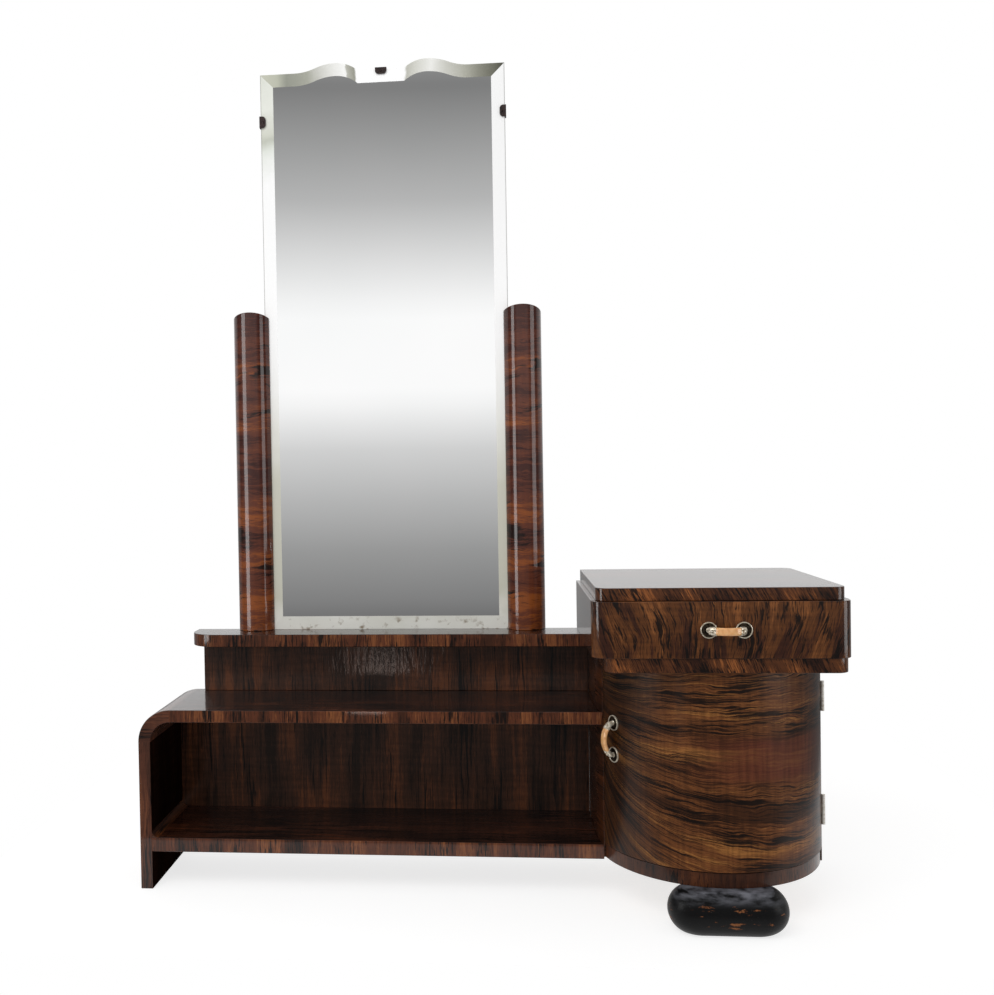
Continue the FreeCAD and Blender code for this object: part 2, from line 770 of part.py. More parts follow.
def make_box():
    """Drawer box between the apron board and the top slab."""
    apron_left = CABINET_X - S.cabinet_radius
    both_fronts = ("front_left", "front_right")
    rounded_plate("apron_board", (apron_left, FRONT + S.apron_inset, PLANK_UNDER),
                  (RIGHT - S.apron_inset, BACK, PLANK_TOP), S.front_corner, both_fronts)
    board("box_left_side", (BOX_LEFT, BOX_FRONT, PLANK_TOP), (BOX_INNER_LEFT, BACK, BOX_TOP))
    board("box_right_side", (BOX_INNER_RIGHT, BOX_FRONT, PLANK_TOP), (RIGHT, BACK, BOX_TOP))
    board("box_back", (BOX_INNER_LEFT, BOX_BACK_FRONT, PLANK_TOP), (BOX_INNER_RIGHT, BACK, BOX_TOP))
    floor = PLANK_TOP + S.box_bottom_thick
    board("box_bottom", (BOX_INNER_LEFT, BOX_FRONT, PLANK_TOP), (BOX_INNER_RIGHT, BOX_BACK_FRONT, floor))
    rounded_plate("top_slab", (BOX_LEFT + S.slab_inset, FRONT + S.slab_inset, BOX_TOP),
                  (RIGHT - S.slab_inset, BACK, BOX_TOP + S.slab_thick),
                  S.slab_corner, both_fronts + ("back_right",))
    guide_top = floor + S.guide_height
    guide_back = BOX_FRONT + S.drawer_length
    board("drawer_guide_left", (BOX_INNER_LEFT, BOX_FRONT, floor),
          (BOX_INNER_LEFT + S.guide_width, guide_back, guide_top))
    board("drawer_guide_right", (BOX_INNER_RIGHT - S.guide_width, BOX_FRONT, floor),
          (BOX_INNER_RIGHT, guide_back, guide_top))
    middle = (BOX_INNER_LEFT + BOX_INNER_RIGHT) / 2
    stop_front = FRONT + S.drawer_front_thick + S.drawer_length + S.drawer_gap
    board("drawer_stop", (middle - S.stop_width / 2, stop_front, floor),
          (middle + S.stop_width / 2, stop_front + S.stop_depth, guide_top))


def make_drawer():
    """Drawer with a front that covers the box's ends, and round front corners."""
    front_back = FRONT + S.drawer_front_thick
    rounded_plate("drawer_front", (BOX_LEFT, FRONT, PLANK_TOP + S.drawer_gap),
                  (RIGHT, front_back, BOX_TOP - S.drawer_gap), S.front_corner, ("front_left", "front_right"))
    low = PLANK_TOP + S.box_bottom_thick + S.drawer_gap
    high = low + S.drawer_side_height
    back = front_back + S.drawer_length
    side_gap = S.guide_width + S.drawer_gap
    left = BOX_INNER_LEFT + side_gap
    right = BOX_INNER_RIGHT - side_gap
    inner_left = left + S.drawer_side_thick
    inner_right = right - S.drawer_side_thick
    board("drawer_left_side", (left, front_back, low), (inner_left, back, high))
    board("drawer_right_side", (inner_right, front_back, low), (right, back, high))
    bottom_low = low + S.drawer_bottom_lift
    bottom_high = bottom_low + S.drawer_bottom_thick
    board("drawer_bottom", (inner_left, front_back, bottom_low), (inner_right, back, bottom_high))
    board("drawer_back", (inner_left, back - S.drawer_side_thick, bottom_high), (inner_right, back, high))


def make_feet():
    """Cushion shaped foot under the round front, and a plain block behind it."""
    body = new_body("cushion_foot")
    sketch = new_sketch(body, "XY_Plane")
    draw_outline(sketch, rectangle(S.foot_width, S.foot_depth))
    pad(body, sketch, S.foot_height)

    def upright(edge, shape):
        return edge.BoundBox.ZLength > shape.BoundBox.ZLength / 2

    def level(edge, shape):
        return not upright(edge, shape)

    round_edges(body, S.foot_corner, upright)
    round_edges(body, S.foot_rounding, level)
    place(body, CABINET_X - S.foot_width / 2, FRONT - S.foot_front, ZERO)
    keep("cushion_foot", body)
    half = S.rear_foot_width / 2
    rear = BACK - S.rear_foot_inset
    front = rear - S.rear_foot_depth
    board("rear_foot", (CABINET_X - half, front, ZERO), (CABINET_X + half, rear, S.foot_height))


def bow_radius():
    """Radius of a handle's curved centre line, from its reach in the middle and at its ends."""
    half = S.handle_spacing / 2
    rise = S.handle_reach - S.grip_thick / 2 - S.handle_end_reach
    return (half * half + rise * rise) / (rise * 2)


def draw_bar_section(sketch, radius, width, thick):
    """Cross section of a handle's bar beyond a turning axis: flat with half round edges."""
    flat = width / 2 - thick / 2
    inner = radius - thick / 2
    outer = radius + thick / 2
    corners = [(inner, -flat), (outer, -flat), (outer, flat), (inner, flat)]
    draw_outline(sketch, corners, {0: ((radius, -flat), False, "X"), 2: ((radius, flat), False, "X")})


def make_handle(name, placement):
    """Bow handle: two dished rosettes, metal ends on posts, a pale grip between, and studs.

    In its own frame the handle's length lies along X, and it stands out towards -Y.
    """
    radius = bow_radius()
    half = S.handle_spacing / 2
    centre_y = -(S.handle_reach - S.grip_thick / 2 - radius)
    grip_angle = arc_sine(S.grip_half_length / radius)
    end_angle = arc_sine(half / radius)
    front_turn = as_size(-90)
    rosettes = mirrored_pair(f"{name}_rosettes", make_rosette(f"{name}_rosette", half))
    grip = new_body(f"{name}_grip")
    section = new_sketch(grip, "XZ_Plane")
    draw_bar_section(section, radius, S.grip_width, S.grip_thick)
    revolve(grip, section, "V_Axis", grip_angle * 2)
    keep(f"{name}_grip", grip)
    ferrule = new_body(f"{name}_ferrule")
    section = new_sketch(ferrule, "XZ_Plane")
    bulk = S.ferrule_extra * 2
    draw_bar_section(section, radius, S.grip_width + bulk, S.grip_thick)
    revolve(ferrule, section, "V_Axis", end_angle - grip_angle)
    middle_angle = (grip_angle + end_angle) / 2
    place(ferrule, ZERO, centre_y, ZERO, front_turn + middle_angle)
    post = DOC.addObject("Part::Cylinder", f"{name}_post")
    bind(post, Radius=S.post_radius, Height=S.handle_end_reach - S.rosette_thick + S.rosette_dish)
    post.Placement.Rotation = FreeCAD.Rotation(FreeCAD.Vector(1, 0, 0), 90)
    place(post, half, -(S.rosette_thick - S.rosette_dish), ZERO)
    end = DOC.addObject("Part::Fuse", f"{name}_end")
    end.Base = ferrule
    end.Tool = post
    ends = mirrored_pair(f"{name}_ends", end)
    stud = make_stud(f"{name}_stud", radius, centre_y, middle_angle)
    studs = mirrored_pair(f"{name}_studs", stud)
    front_face = FreeCAD.Rotation(FreeCAD.Vector(0, 0, 1), front_turn.value)
    turned = FreeCAD.Placement(FreeCAD.Vector(0, centre_y.value, 0), front_face)
    grip.Placement = placement.multiply(turned)
    for piece in (rosettes, ends, studs):
        piece.Placement = placement


def make_rosette(name, distance):
    """Round plate with a raised rim, lying against the front it is fixed to."""
    body = new_body(name)
    sketch = new_sketch(body, "XZ_Plane")
    radius = S.rosette_radius
    dish = radius - S.rosette_rim
    floor = S.rosette_thick - S.rosette_dish
    draw_outline(sketch, [(ZERO, ZERO), (radius, ZERO), (radius, S.rosette_thick),
                          (dish, S.rosette_thick), (dish - S.rosette_dish, floor), (ZERO, floor)])
    revolve(body, sketch, "V_Axis")
    body.Placement.Rotation = FreeCAD.Rotation(FreeCAD.Vector(1, 0, 0), 90)
    return place(body, distance, ZERO, ZERO)


def make_stud(name, radius, centre_y, angle):
    """Dome headed stud on the outer side of a handle's end."""
    stud = DOC.addObject("Part::Sphere", name)
    bind(stud, Radius=S.stud_radius)
    stud.Angle1 = 0
    outer = radius + S.grip_thick / 2
    place(stud, sine(angle) * outer, centre_y - cosine(angle) * outer, ZERO)
    lean = FreeCAD.Rotation(FreeCAD.Vector(0, 0, 1), angle.value)
    stud.Placement.Rotation = lean.multiply(FreeCAD.Rotation(FreeCAD.Vector(1, 0, 0), 90))
    return stud


def make_handles():
    """The same bow handle lies across the drawer front and stands upright on the door."""
    drawer_x = (BOX_LEFT + RIGHT) / 2 + S.handle_shift
    drawer_z = (PLANK_TOP + BOX_TOP) / 2
    spot = FreeCAD.Vector(drawer_x.value, FRONT.value, drawer_z.value)
    make_handle("drawer_handle", FreeCAD.Placement(spot, FreeCAD.Rotation()))
    angle = S.door_handle_angle
    door_x = CABINET_X - sine(angle) * S.cabinet_radius
    door_y = CABINET_Y - cosine(angle) * S.cabinet_radius
    spot = FreeCAD.Vector(door_x.value, door_y.value, S.door_handle_height.value)
    upright = FreeCAD.Rotation(FreeCAD.Vector(0, 1, 0), 90)
    outwards = FreeCAD.Rotation(FreeCAD.Vector(0, 0, 1), -angle.value)
    make_handle("door_handle", FreeCAD.Placement(spot, outwards.multiply(upright)))


def make_door():
    """Curved door between the two cabinet sides."""
    sweep = S.door_half_angle - arc_angle(S.door_side_gap / 2, S.cabinet_radius)
    low = CABINET_BASE + S.door_gap
    height = PLANK_UNDER - S.door_gap - low
    start = FRONT_ANGLE - sweep
    ring_sector("door_panel", S.cabinet_radius, S.door_thick, start, sweep * 2, low, height)


def make_hinges():
    """Two butt hinges in the gap between the door's right edge and the cabinet side."""
    lows = {
        "lower": CABINET_BASE + S.door_gap + S.hinge_inset,
        "upper": PLANK_UNDER - S.door_gap - S.hinge_inset - S.hinge_height,
    }
    pins = []
    for level, low in lows.items():
        make_leaf(f"{level}_hinge_side_leaf", low, 1)
        make_leaf(f"{level}_hinge_door_leaf", low, -1)
        pin = DOC.addObject("Part::Cylinder", f"{level}_pin")
        bind(pin, Radius=S.pin_radius, Height=S.hinge_height)
        pins.append(place(pin, *hinge_axis(), low))
    group("hinge_pins", pins)


def hinge_axis():
    """Plan position of the hinge line, one knuckle radius outside the door's curve."""
    reach = S.cabinet_radius + S.knuckle_radius
    angle = S.door_half_angle
    return CABINET_X + sine(angle) * reach, CABINET_Y - cosine(angle) * reach


def make_leaf(name, low, side):
    """Hinge leaf: a plate with its own knuckles. The side leaf has two, the door leaf has one.

    In its own frame the knuckles turn about Z, and the plate runs along +Y into the cabinet.
    """
    share = S.hinge_height * KNUCKLE_SHARE
    gap = S.knuckle_gap
    if side > 0:
        spans = [(ZERO, share), (share * 2, S.hinge_height)]
    else:
        spans = [(share + gap, share * 2 - gap)]
    far = S.door_side_gap / 2 * (S.cabinet_radius - S.leaf_width) / S.cabinet_radius
    near = far - S.leaf_thick
    low_x, high_x = (near, far) if side > 0 else (-far, -near)
    plate_start = S.knuckle_radius + gap
    solids = [block(f"{name}_plate", (low_x, plate_start, ZERO),
                    (high_x, S.knuckle_radius + S.leaf_width, S.hinge_height))]
    for number, (bottom, top) in enumerate(spans, start=1):
        solids.append(block(f"{name}_web_{number}", (low_x, ZERO, bottom), (high_x, plate_start, top)))
        barrel = DOC.addObject("Part::Cylinder", f"{name}_barrel_{number}")
        bind(barrel, Radius=S.knuckle_radius, Height=top - bottom)
        solids.append(place(barrel, ZERO, ZERO, bottom))
    whole = DOC.addObject("Part::MultiFuse", f"{name}_whole")
    whole.Shapes = solids
    bore = DOC.addObject("Part::Cylinder", f"{name}_bore")
    play = ZERO if side > 0 else S.pin_play
    bind(bore, Radius=S.pin_radius + play, Height=S.hinge_height)
    leaf = DOC.addObject("Part::Cut", name)
    leaf.Base = whole
    leaf.Tool = bore
    place(leaf, *hinge_axis(), low, S.door_half_angle)
    keep(name, leaf)


def check_pieces():
    """Stop if an object failed or a sub-part has no sound shape."""
    for thing in DOC.Objects:
        if "Invalid" in thing.State or "Error" in thing.State:
            raise RuntimeError(f"{thing.Label} failed: {thing.State}")
    for name, thing in PIECES.items():
        if thing.Shape.isNull() or not thing.Shape.isValid() or not thing.Shape.Solids:
            raise RuntimeError(f"{name} has no sound shape")


def write_pieces():
    """Write each sub-part to its own file."""
    os.makedirs("parts", exist_ok=True)
    for name, thing in PIECES.items():
        thing.Shape.exportStep(f"parts/{name}.step")


def main():
    """Build the whole piece and write it."""
    make_shelf_unit()
    make_step()
    make_column("left_column", LEFT_COLUMN_X, 1)
    make_column("right_column", RIGHT_COLUMN_X, -1)
    make_mirror()
    make_cabinet()
    make_box()
    make_drawer()
    make_feet()
    make_door()
    make_hinges()
    make_handles()
    DOC.recompute()
    check_pieces()
    write_pieces()
    print(f"{len(PIECES)} sub-parts written")


main()
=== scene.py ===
"""Looks of the dressing table with mirror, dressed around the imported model."""
import json
import logging
import math
from dataclasses import dataclass
from enum import Enum
from functools import cached_property, partial
from typing import Callable, NamedTuple, Sequence

import bmesh
import bpy
import numpy as np
from mathutils import Matrix, Vector

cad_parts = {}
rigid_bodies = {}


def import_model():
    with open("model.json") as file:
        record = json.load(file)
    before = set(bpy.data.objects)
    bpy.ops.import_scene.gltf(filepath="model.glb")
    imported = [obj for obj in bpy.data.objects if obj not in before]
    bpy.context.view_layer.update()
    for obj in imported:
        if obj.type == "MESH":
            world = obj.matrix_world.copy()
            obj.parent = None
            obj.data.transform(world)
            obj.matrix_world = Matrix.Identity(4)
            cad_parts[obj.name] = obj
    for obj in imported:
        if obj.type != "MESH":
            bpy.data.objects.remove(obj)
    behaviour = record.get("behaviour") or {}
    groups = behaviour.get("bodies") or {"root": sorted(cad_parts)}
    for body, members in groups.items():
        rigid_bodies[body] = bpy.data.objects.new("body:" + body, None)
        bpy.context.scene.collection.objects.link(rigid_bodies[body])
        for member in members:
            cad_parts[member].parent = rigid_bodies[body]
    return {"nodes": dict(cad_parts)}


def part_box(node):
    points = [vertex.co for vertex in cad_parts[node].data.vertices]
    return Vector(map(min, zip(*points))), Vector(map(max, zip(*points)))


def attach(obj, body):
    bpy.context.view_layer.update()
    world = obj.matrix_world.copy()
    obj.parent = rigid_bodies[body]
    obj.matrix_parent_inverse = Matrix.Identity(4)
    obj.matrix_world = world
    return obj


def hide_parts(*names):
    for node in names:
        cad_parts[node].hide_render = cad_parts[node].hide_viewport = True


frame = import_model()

LOG = logging.getLogger("dressing_table")
MM = 0.001
GRAIN_MAP = "grain"
# Edges that turn by more than the first are softened, and by more than the second shaded as edges
CREASE, SHARP = math.radians(35), math.radians(40)
SOFT_STEPS = 3
# Cosines past which a face counts as facing an axis, and two faces as parallel, and below which a face is upright
FACING, PARALLEL, UPRIGHT = 0.7, 0.9999, 0.1
# Room for rounding, and a hair's breadth, within which an edge belongs to a joint
TINY, HAIR = 1e-7, 0.1 * MM
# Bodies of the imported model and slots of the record
CARCASS, DRAWER, DOOR = "carcass", "drawer", "door"
VENEER, PLAIN, EBONISED, NICKEL = "walnut_veneer", "plain_wood", "ebonised_wood", "nickel"

Material, Tree, Socket = bpy.types.Material, bpy.types.NodeTree, bpy.types.NodeSocket
Piece, Shape = bpy.types.Object, bmesh.types.BMesh
Point = tuple[float, float]
Stops = Sequence[tuple[float, str]]
Add = Callable[..., Socket]


class Axis(Enum):
    """The direction in which an outline is swept to make a board."""

    UP = "outline in plan, swept upwards"
    BACK = "outline as seen from the front, swept to the back"


class Spot(NamedTuple):
    """A place on a board in its own axes: outline place a and b, sweep place h, way s along the outline."""

    a: float
    b: float
    h: float
    s: float


Grain = Callable[[Spot], Point]


def linear(colour: str) -> tuple[float, float, float, float]:
    """Turns an sRGB hex value into linear light.

    Args:
        colour: Hex value such as "#4a2a18".

    Returns:
        Red, green, blue and an alpha of 1.
    """
    parts = [int(colour[i:i + 2], 16) / 255 for i in (1, 3, 5)]
    red, green, blue = [p / 12.92 if p <= 0.04045 else ((p + 0.055) / 1.055) ** 2.4 for p in parts]
    return red, green, blue, 1.0


def add_node(tree: Tree, kind: str, links: dict | None = None, out: int | str = 0, stops: Stops = (),
             **settings) -> Socket | None:
    """Adds a node with its settings and links.

    Args:
        tree: Node tree that gets the node.
        kind: Type name of the node, where ShaderNode can be left off.
        links: For each input, by name or number, the output socket or the value that goes in.
        out: Name or number of the output that is wanted.
        stops: Places and hex colours of a colour ramp.
        **settings: Properties of the node.

    Returns:
        The wanted output, if the node has any.
    """
    node = tree.nodes.new(kind if "Node" in kind else f"ShaderNode{kind}")
    for key, value in settings.items():
        setattr(node, key, value)
    if stops:
        elements = node.color_ramp.elements
        elements.remove(elements[1])
        elements[0].position, elements[0].color = stops[0][0], linear(stops[0][1])
        for place, colour in stops[1:]:
            elements.new(place).color = linear(colour)
    for key, value in (links or {}).items():
        if isinstance(value, Socket):
            tree.links.new(value, node.inputs[key])
        else:
            node.inputs[key].default_value = value
    return node.outputs[out] if node.outputs else None


def new_material(name: str) -> tuple[Material, Add]:
    """Makes an empty node material.

    Args:
        name: Name of the real material.

    Returns:
        The material and the function that adds nodes to it.
    """
    material = bpy.data.materials.new(name)
    material.use_nodes = True
    material.node_tree.nodes.clear()
    return material, partial(add_node, material.node_tree)


def finish_surface(add: Add, links: dict) -> None:
    """Adds the shader of an opaque surface with its inputs, and joins it to the output."""
    add("OutputMaterial", {"Surface": add("BsdfPrincipled", links)})


# ---------------------------------------------------------------------------------- finishes


@dataclass(frozen=True)
class WalnutVeneer:
    """Figured walnut veneer, sliced, matched and French polished to a high gloss.

    Brown wood with orange zones carries short near black strokes that come in clusters, fine
    fibres and soft bars across the grain. The polish is a clear coat with faint waves in it.
    Lengths are in millimetres, and a pair is a feature's size along and across the grain. Two are in
    metres: plain gives a tongue of plain red wood, by where it begins and is full along the grain and
    by its middle and half width across it. toned gives the ways along the grain at which the stain
    ends, is gone, comes back and is full again, where stained is how dark it is.
    """

    name: str
    seed: float
    deep: str
    brown: str
    warm: str
    dark: str = "#0d0604"
    red: str = "#5e2c1e"
    stroke_width: float = 7.0
    stroke_length: float = 90.0
    strokes: float = 0.5
    sway: float = 9.0
    sway_length: float = 150.0
    zone: float = 60.0
    zone_length: float = 320.0
    curl: float = 0.16
    curl_spacing: float = 9.0
    coat: float = 1.0
    gloss: float = 0.06
    relief: float = 0.3
    specular: float = 0.1
    stained: float = 0.42
    ripple: Point = (34.0, 22.0)
    swell: Point = (44.0, 12.0)
    pores: Point = (14.0, 0.8)
    fibre: Point = (20.0, 1.3)
    plain: tuple[float, float, float, float] | None = None
    toned: tuple[float, float, float, float] | None = None

    def make(self) -> Material:
        """Builds the node material.

        Returns:
            The material.
        """
        material, add = new_material(self.name)
        place = add("UVMap", uv_map=GRAIN_MAP)
        shifted = add("VectorMath", {0: place, 1: (self.seed * 1.37, self.seed * 0.73, self.seed)}, operation="ADD")
        wander = self._along_grain(add, shifted, self.sway_length, self.sway_length / 2.0)
        ripple = self._along_grain(add, shifted, *self.ripple)
        wave = add("Math", {0: ripple, 1: 0.22, 2: wander}, operation="MULTIPLY_ADD")
        wave = add("Math", {0: wave, 1: self.sway * 3 * MM}, operation="MULTIPLY")
        warped = add("VectorMath", {0: shifted, 1: add("CombineXYZ", {"Y": wave})}, operation="ADD")
        colour = self._ground(add, warped)
        amount = self._strokes(add, warped)
        if self.plain:
            red = self._plain_wood(add, place, wave)
            tinted = add("Math", {0: red, 1: 0.75}, operation="MULTIPLY")
            colour = add("Mix", {0: tinted, 6: colour, 7: linear(self.red)}, 2, data_type="RGBA")
            fewer = add("Math", {0: 1.0, 1: red}, operation="SUBTRACT")
            amount = add("Math", {0: amount, 1: fewer}, operation="MULTIPLY")
        colour = add("Mix", {0: amount, 6: colour, 7: linear(self.dark)}, 2, data_type="RGBA")
        # Curl: soft bars across the grain, where the fibres dip and rise
        bars = self._along_grain(add, shifted, self.curl_spacing, 90.0, 1.5)
        tones = [add("MapRange", {"Value": bars, "From Min": 0.34, "From Max": 0.66, "To Min": 1 - self.curl,
                                  "To Max": 1 + self.curl})]
        if self.toned:
            way = add("SeparateXYZ", {"Vector": place}, "X")
            ends = [add("MapRange", {"Value": way, "From Min": full, "From Max": gone, "To Min": self.stained},
                        interpolation_type="SMOOTHSTEP") for full, gone in (self.toned[:2], self.toned[:1:-1])]
            tones.append(add("Math", {0: ends[0], 1: ends[1]}, operation="MINIMUM"))
        for tone in tones:
            colour = add("VectorMath", {0: colour, "Scale": tone}, operation="SCALE")
        swell = self._along_grain(add, shifted, *self.swell, 3.0, 0.55)
        pores = self._along_grain(add, warped, *self.pores, 2.0, 0.6)
        finish_surface(add, {
            "Base Color": colour, "Roughness": 0.5, "Specular IOR Level": self.specular, "Coat Weight": self.coat,
            "Coat Roughness": self.gloss, "Coat IOR": 1.36,
            "Normal": add("Bump", {"Height": pores, "Strength": 0.25, "Distance": 0.3 * MM}),
            "Coat Normal": add("Bump", {"Height": swell, "Strength": self.relief, "Distance": 0.6 * MM})})
        return material

    def _ground(self, add: Add, warped: Socket) -> Socket:
        """Adds the brown wood between the strokes: wide zones, bands and fine fibres.

        Args:
            add: Adds a node to the material.
            warped: Place on the grain map, drawn along the wandering grain.

        Returns:
            The colour.
        """
        tone = self._along_grain(add, warped, self.zone_length, self.zone)
        bands = self._along_grain(add, warped, self.stroke_length * 1.8, self.stroke_width * 1.3, 4.0, 0.6)
        fibre = self._along_grain(add, warped, *self.fibre, 3.0, 0.65)
        for finer, weight in ((bands, 0.75), (fibre, 0.55)):
            tone = add("Math", {0: finer, 1: weight, 2: tone}, operation="MULTIPLY_ADD")
        # The three patterns together lie around 1.15
        tone = add("MapRange", {"Value": tone, "From Min": 0.85, "From Max": 1.45})
        return add("ValToRGB", {"Fac": tone}, stops=((0.0, self.deep), (0.28, self.deep), (0.46, self.brown),
                                                     (0.60, self.brown), (0.82, self.warm), (1.0, self.warm)))

    def _strokes(self, add: Add, warped: Socket) -> Socket:
        """Adds the near black strokes, thick ones in clusters and thin ones between them.

        Args:
            add: Adds a node to the material.
            warped: Place on the grain map, drawn along the wandering grain.

        Returns:
            How dark the strokes are, from 0 to 1.
        """
        cluster = self._along_grain(add, warped, self.stroke_length * 1.8, self.stroke_width * 7.0, 1.0)
        thick = self._along_grain(add, warped, self.stroke_length, self.stroke_width, 3.0, 0.6)
        thin = self._along_grain(add, warped, self.stroke_length * 0.8, self.stroke_width * 0.4, 3.0, 0.6)
        shift = 0.14 * (0.5 - self.strokes)
        amounts = []
        for value, weight, low, high, most in ((thick, 0.6, 0.88, 0.945, 0.94), (thin, 0.3, 0.71, 0.78, 0.8)):
            both = add("Math", {0: cluster, 1: weight, 2: value}, operation="MULTIPLY_ADD")
            amounts.append(add("MapRange", {"Value": both, "From Min": low + shift, "From Max": high + shift,
                                            "To Max": most}, interpolation_type="SMOOTHSTEP"))
        return add("Math", {0: amounts[0], 1: amounts[1]}, operation="MAXIMUM")

    def _plain_wood(self, add: Add, place: Socket, wave: Socket) -> Socket:
        """Adds a tongue of plain reddish wood that widens along the grain.

        Args:
            add: Adds a node to the material.
            place: Place on the grain map, in metres.
            wave: How far the grain wanders there.

        Returns:
            How much of the plain wood shows, from 0 to 1.
        """
        start, full, middle, half = self.plain
        way, across, _ = add("SeparateXYZ", {"Vector": place}).node.outputs
        off = add("Math", {0: across, 1: wave}, operation="ADD")
        off = add("Math", {0: off, 1: middle}, operation="SUBTRACT")
        off = add("Math", {0: off}, operation="ABSOLUTE")
        near, along = [add("MapRange", {"Value": value, "From Min": low, "From Max": high},
                           interpolation_type="SMOOTHSTEP")
                       for value, low, high in ((off, half, half * 0.45), (way, start, full))]
        return add("Math", {0: near, 1: along}, operation="MULTIPLY")

    @staticmethod
    def _along_grain(add: Add, place: Socket, along: float, across: float, detail: float = 2.0,
                     roughness: float = 0.5) -> Socket:
        """Adds noise that is stretched along the grain.

        Args:
            add: Adds a node to the material.
            place: Place on the grain map, in metres.
            along: Size of a feature along the grain, in millimetres.
            across: Size of a feature across the grain, in millimetres.
            detail: Number of finer layers.
            roughness: Weight of the finer layers.

        Returns:
            The noise, around 0.5.
        """
        scaled = add("Mapping", {"Vector": place, "Scale": (1 / (along * MM), 1 / (across * MM), 1.0)})
        return add("TexNoise", {"Vector": scaled, "Scale": 1.0, "Detail": detail, "Roughness": roughness})


@dataclass(frozen=True)
class PlainBeech:
    """Plain beech of the inner boards, planed and left raw: pale, matt, with short flecks."""

    name: str = "beech_planed"
    pale: str = "#cda67f"
    fleck: str = "#ab825b"

    def make(self) -> Material:
        """Builds the node material.

        Returns:
            The material.
        """
        material, add = new_material(self.name)
        place = add("UVMap", uv_map=GRAIN_MAP)
        grain, fleck = [add("TexNoise", {"Vector": add("Mapping", {"Vector": place, "Scale": scale}), "Scale": 1.0,
                                         "Detail": detail})
                        for scale, detail in (((2.5, 150.0, 1.0), 5.0), ((160.0, 1100.0, 1.0), 2.0))]
        tone = add("Math", {0: fleck, 1: 0.35, 2: grain}, operation="MULTIPLY_ADD")
        colour = add("ValToRGB", {"Fac": tone}, stops=(
            (0.48, self.fleck), (0.68, self.pale), (0.84, self.pale), (0.95, self.fleck)))
        bump = add("Bump", {"Height": fleck, "Strength": 0.2, "Distance": 0.2 * MM})
        finish_surface(add, {"Base Color": colour, "Roughness": 0.62, "Normal": bump})
        return material


@dataclass(frozen=True)
class EbonisedWood:
    """Turned wood stained black and polished, rubbed through to brown on its belly and blind on its upper side.

    rows gives the middle and the half width of the rubbed rows above the floor, and blind_from and
    blind_to the height over which the polish goes blind.
    """

    name: str = "ebonised_beech_polished"
    black: str = "#050506"
    bare: str = "#3a1e0e"
    worn: str = "#8f5a35"
    bloom: str = "#7c7d85"
    dust: str = "#4a4848"
    rows: tuple[Point, ...] = ((0.028, 0.017), (0.054, 0.015))
    blind_from: float = 0.058
    blind_to: float = 0.086

    def make(self) -> Material:
        """Builds the node material.

        Returns:
            The material.
        """
        material, add = new_material(self.name)
        place = add("TexCoord", out="Object")
        stretched = add("Mapping", {"Vector": place, "Scale": (34.0, 34.0, 105.0)})
        amount = add("TexNoise", {"Vector": stretched, "Scale": 1.0, "Detail": 5.0, "Roughness": 0.66})
        height = add("SeparateXYZ", {"Vector": place}, "Z")
        for middle, width in self.rows:
            off = add("Math", {0: height, 1: middle}, operation="SUBTRACT")
            off = add("Math", {0: off}, operation="ABSOLUTE")
            rubbed = add("MapRange", {"Value": off, "From Min": width, "From Max": 0.0, "To Max": 0.13},
                         interpolation_type="SMOOTHSTEP")
            amount = add("Math", {0: rubbed, 1: amount}, operation="ADD")
        colour = add("ValToRGB", {"Fac": amount}, stops=(
            (0.0, self.black), (0.68, self.black), (0.70, self.bare), (0.75, self.worn)))
        blind = add("MapRange", {"Value": height, "From Min": self.blind_from, "From Max": self.blind_to},
                    interpolation_type="SMOOTHSTEP")
        cloud = add("TexNoise", {"Vector": stretched, "Scale": 0.9, "Detail": 4.0})
        cloud = add("MapRange", {"Value": cloud, "From Min": 0.38, "From Max": 0.66})
        blind = add("Math", {0: blind, 1: cloud}, operation="MULTIPLY")
        specks = add("TexNoise", {"Vector": place, "Scale": 700.0, "Detail": 1.0})
        specks = add("MapRange", {"Value": specks, "From Min": 0.74, "From Max": 0.80})
        for share, tint in ((blind, self.bloom), (specks, self.dust)):
            colour = add("Mix", {0: share, 6: colour, 7: linear(tint)}, 2, data_type="RGBA")
        brushed = add("Mapping", {"Vector": place, "Scale": (30.0, 30.0, 420.0)})
        brushed = add("TexNoise", {"Vector": brushed, "Scale": 1.0, "Detail": 3.0})
        bump = add("Bump", {"Height": brushed, "Strength": 0.35, "Distance": 1.2 * MM})
        finish_surface(add, {"Base Color": colour, "Roughness": 0.42, "Specular IOR Level": 0.14,
                             "Coat Weight": 0.03, "Coat Roughness": 0.3, "Normal": bump})
        return material


@dataclass(frozen=True)
class SilveredGlass:
    """Plate glass silvered on its back: a clear mirror, very slightly hazy in places."""

    name: str = "silvered_plate_glass"

    def make(self) -> Material:
        """Builds the node material.

        Returns:
            The material.
        """
        material, add = new_material(self.name)
        haze = add("TexNoise", {"Vector": add("TexCoord", out="Object"), "Scale": 3.0, "Detail": 2.0})
        colour = add("ValToRGB", {"Fac": haze}, stops=((0.3, "#f7f8f8"), (0.7, "#fbfbfb")))
        finish_surface(add, {"Base Color": colour, "Metallic": 1.0, "Roughness": 0.0})
        return material


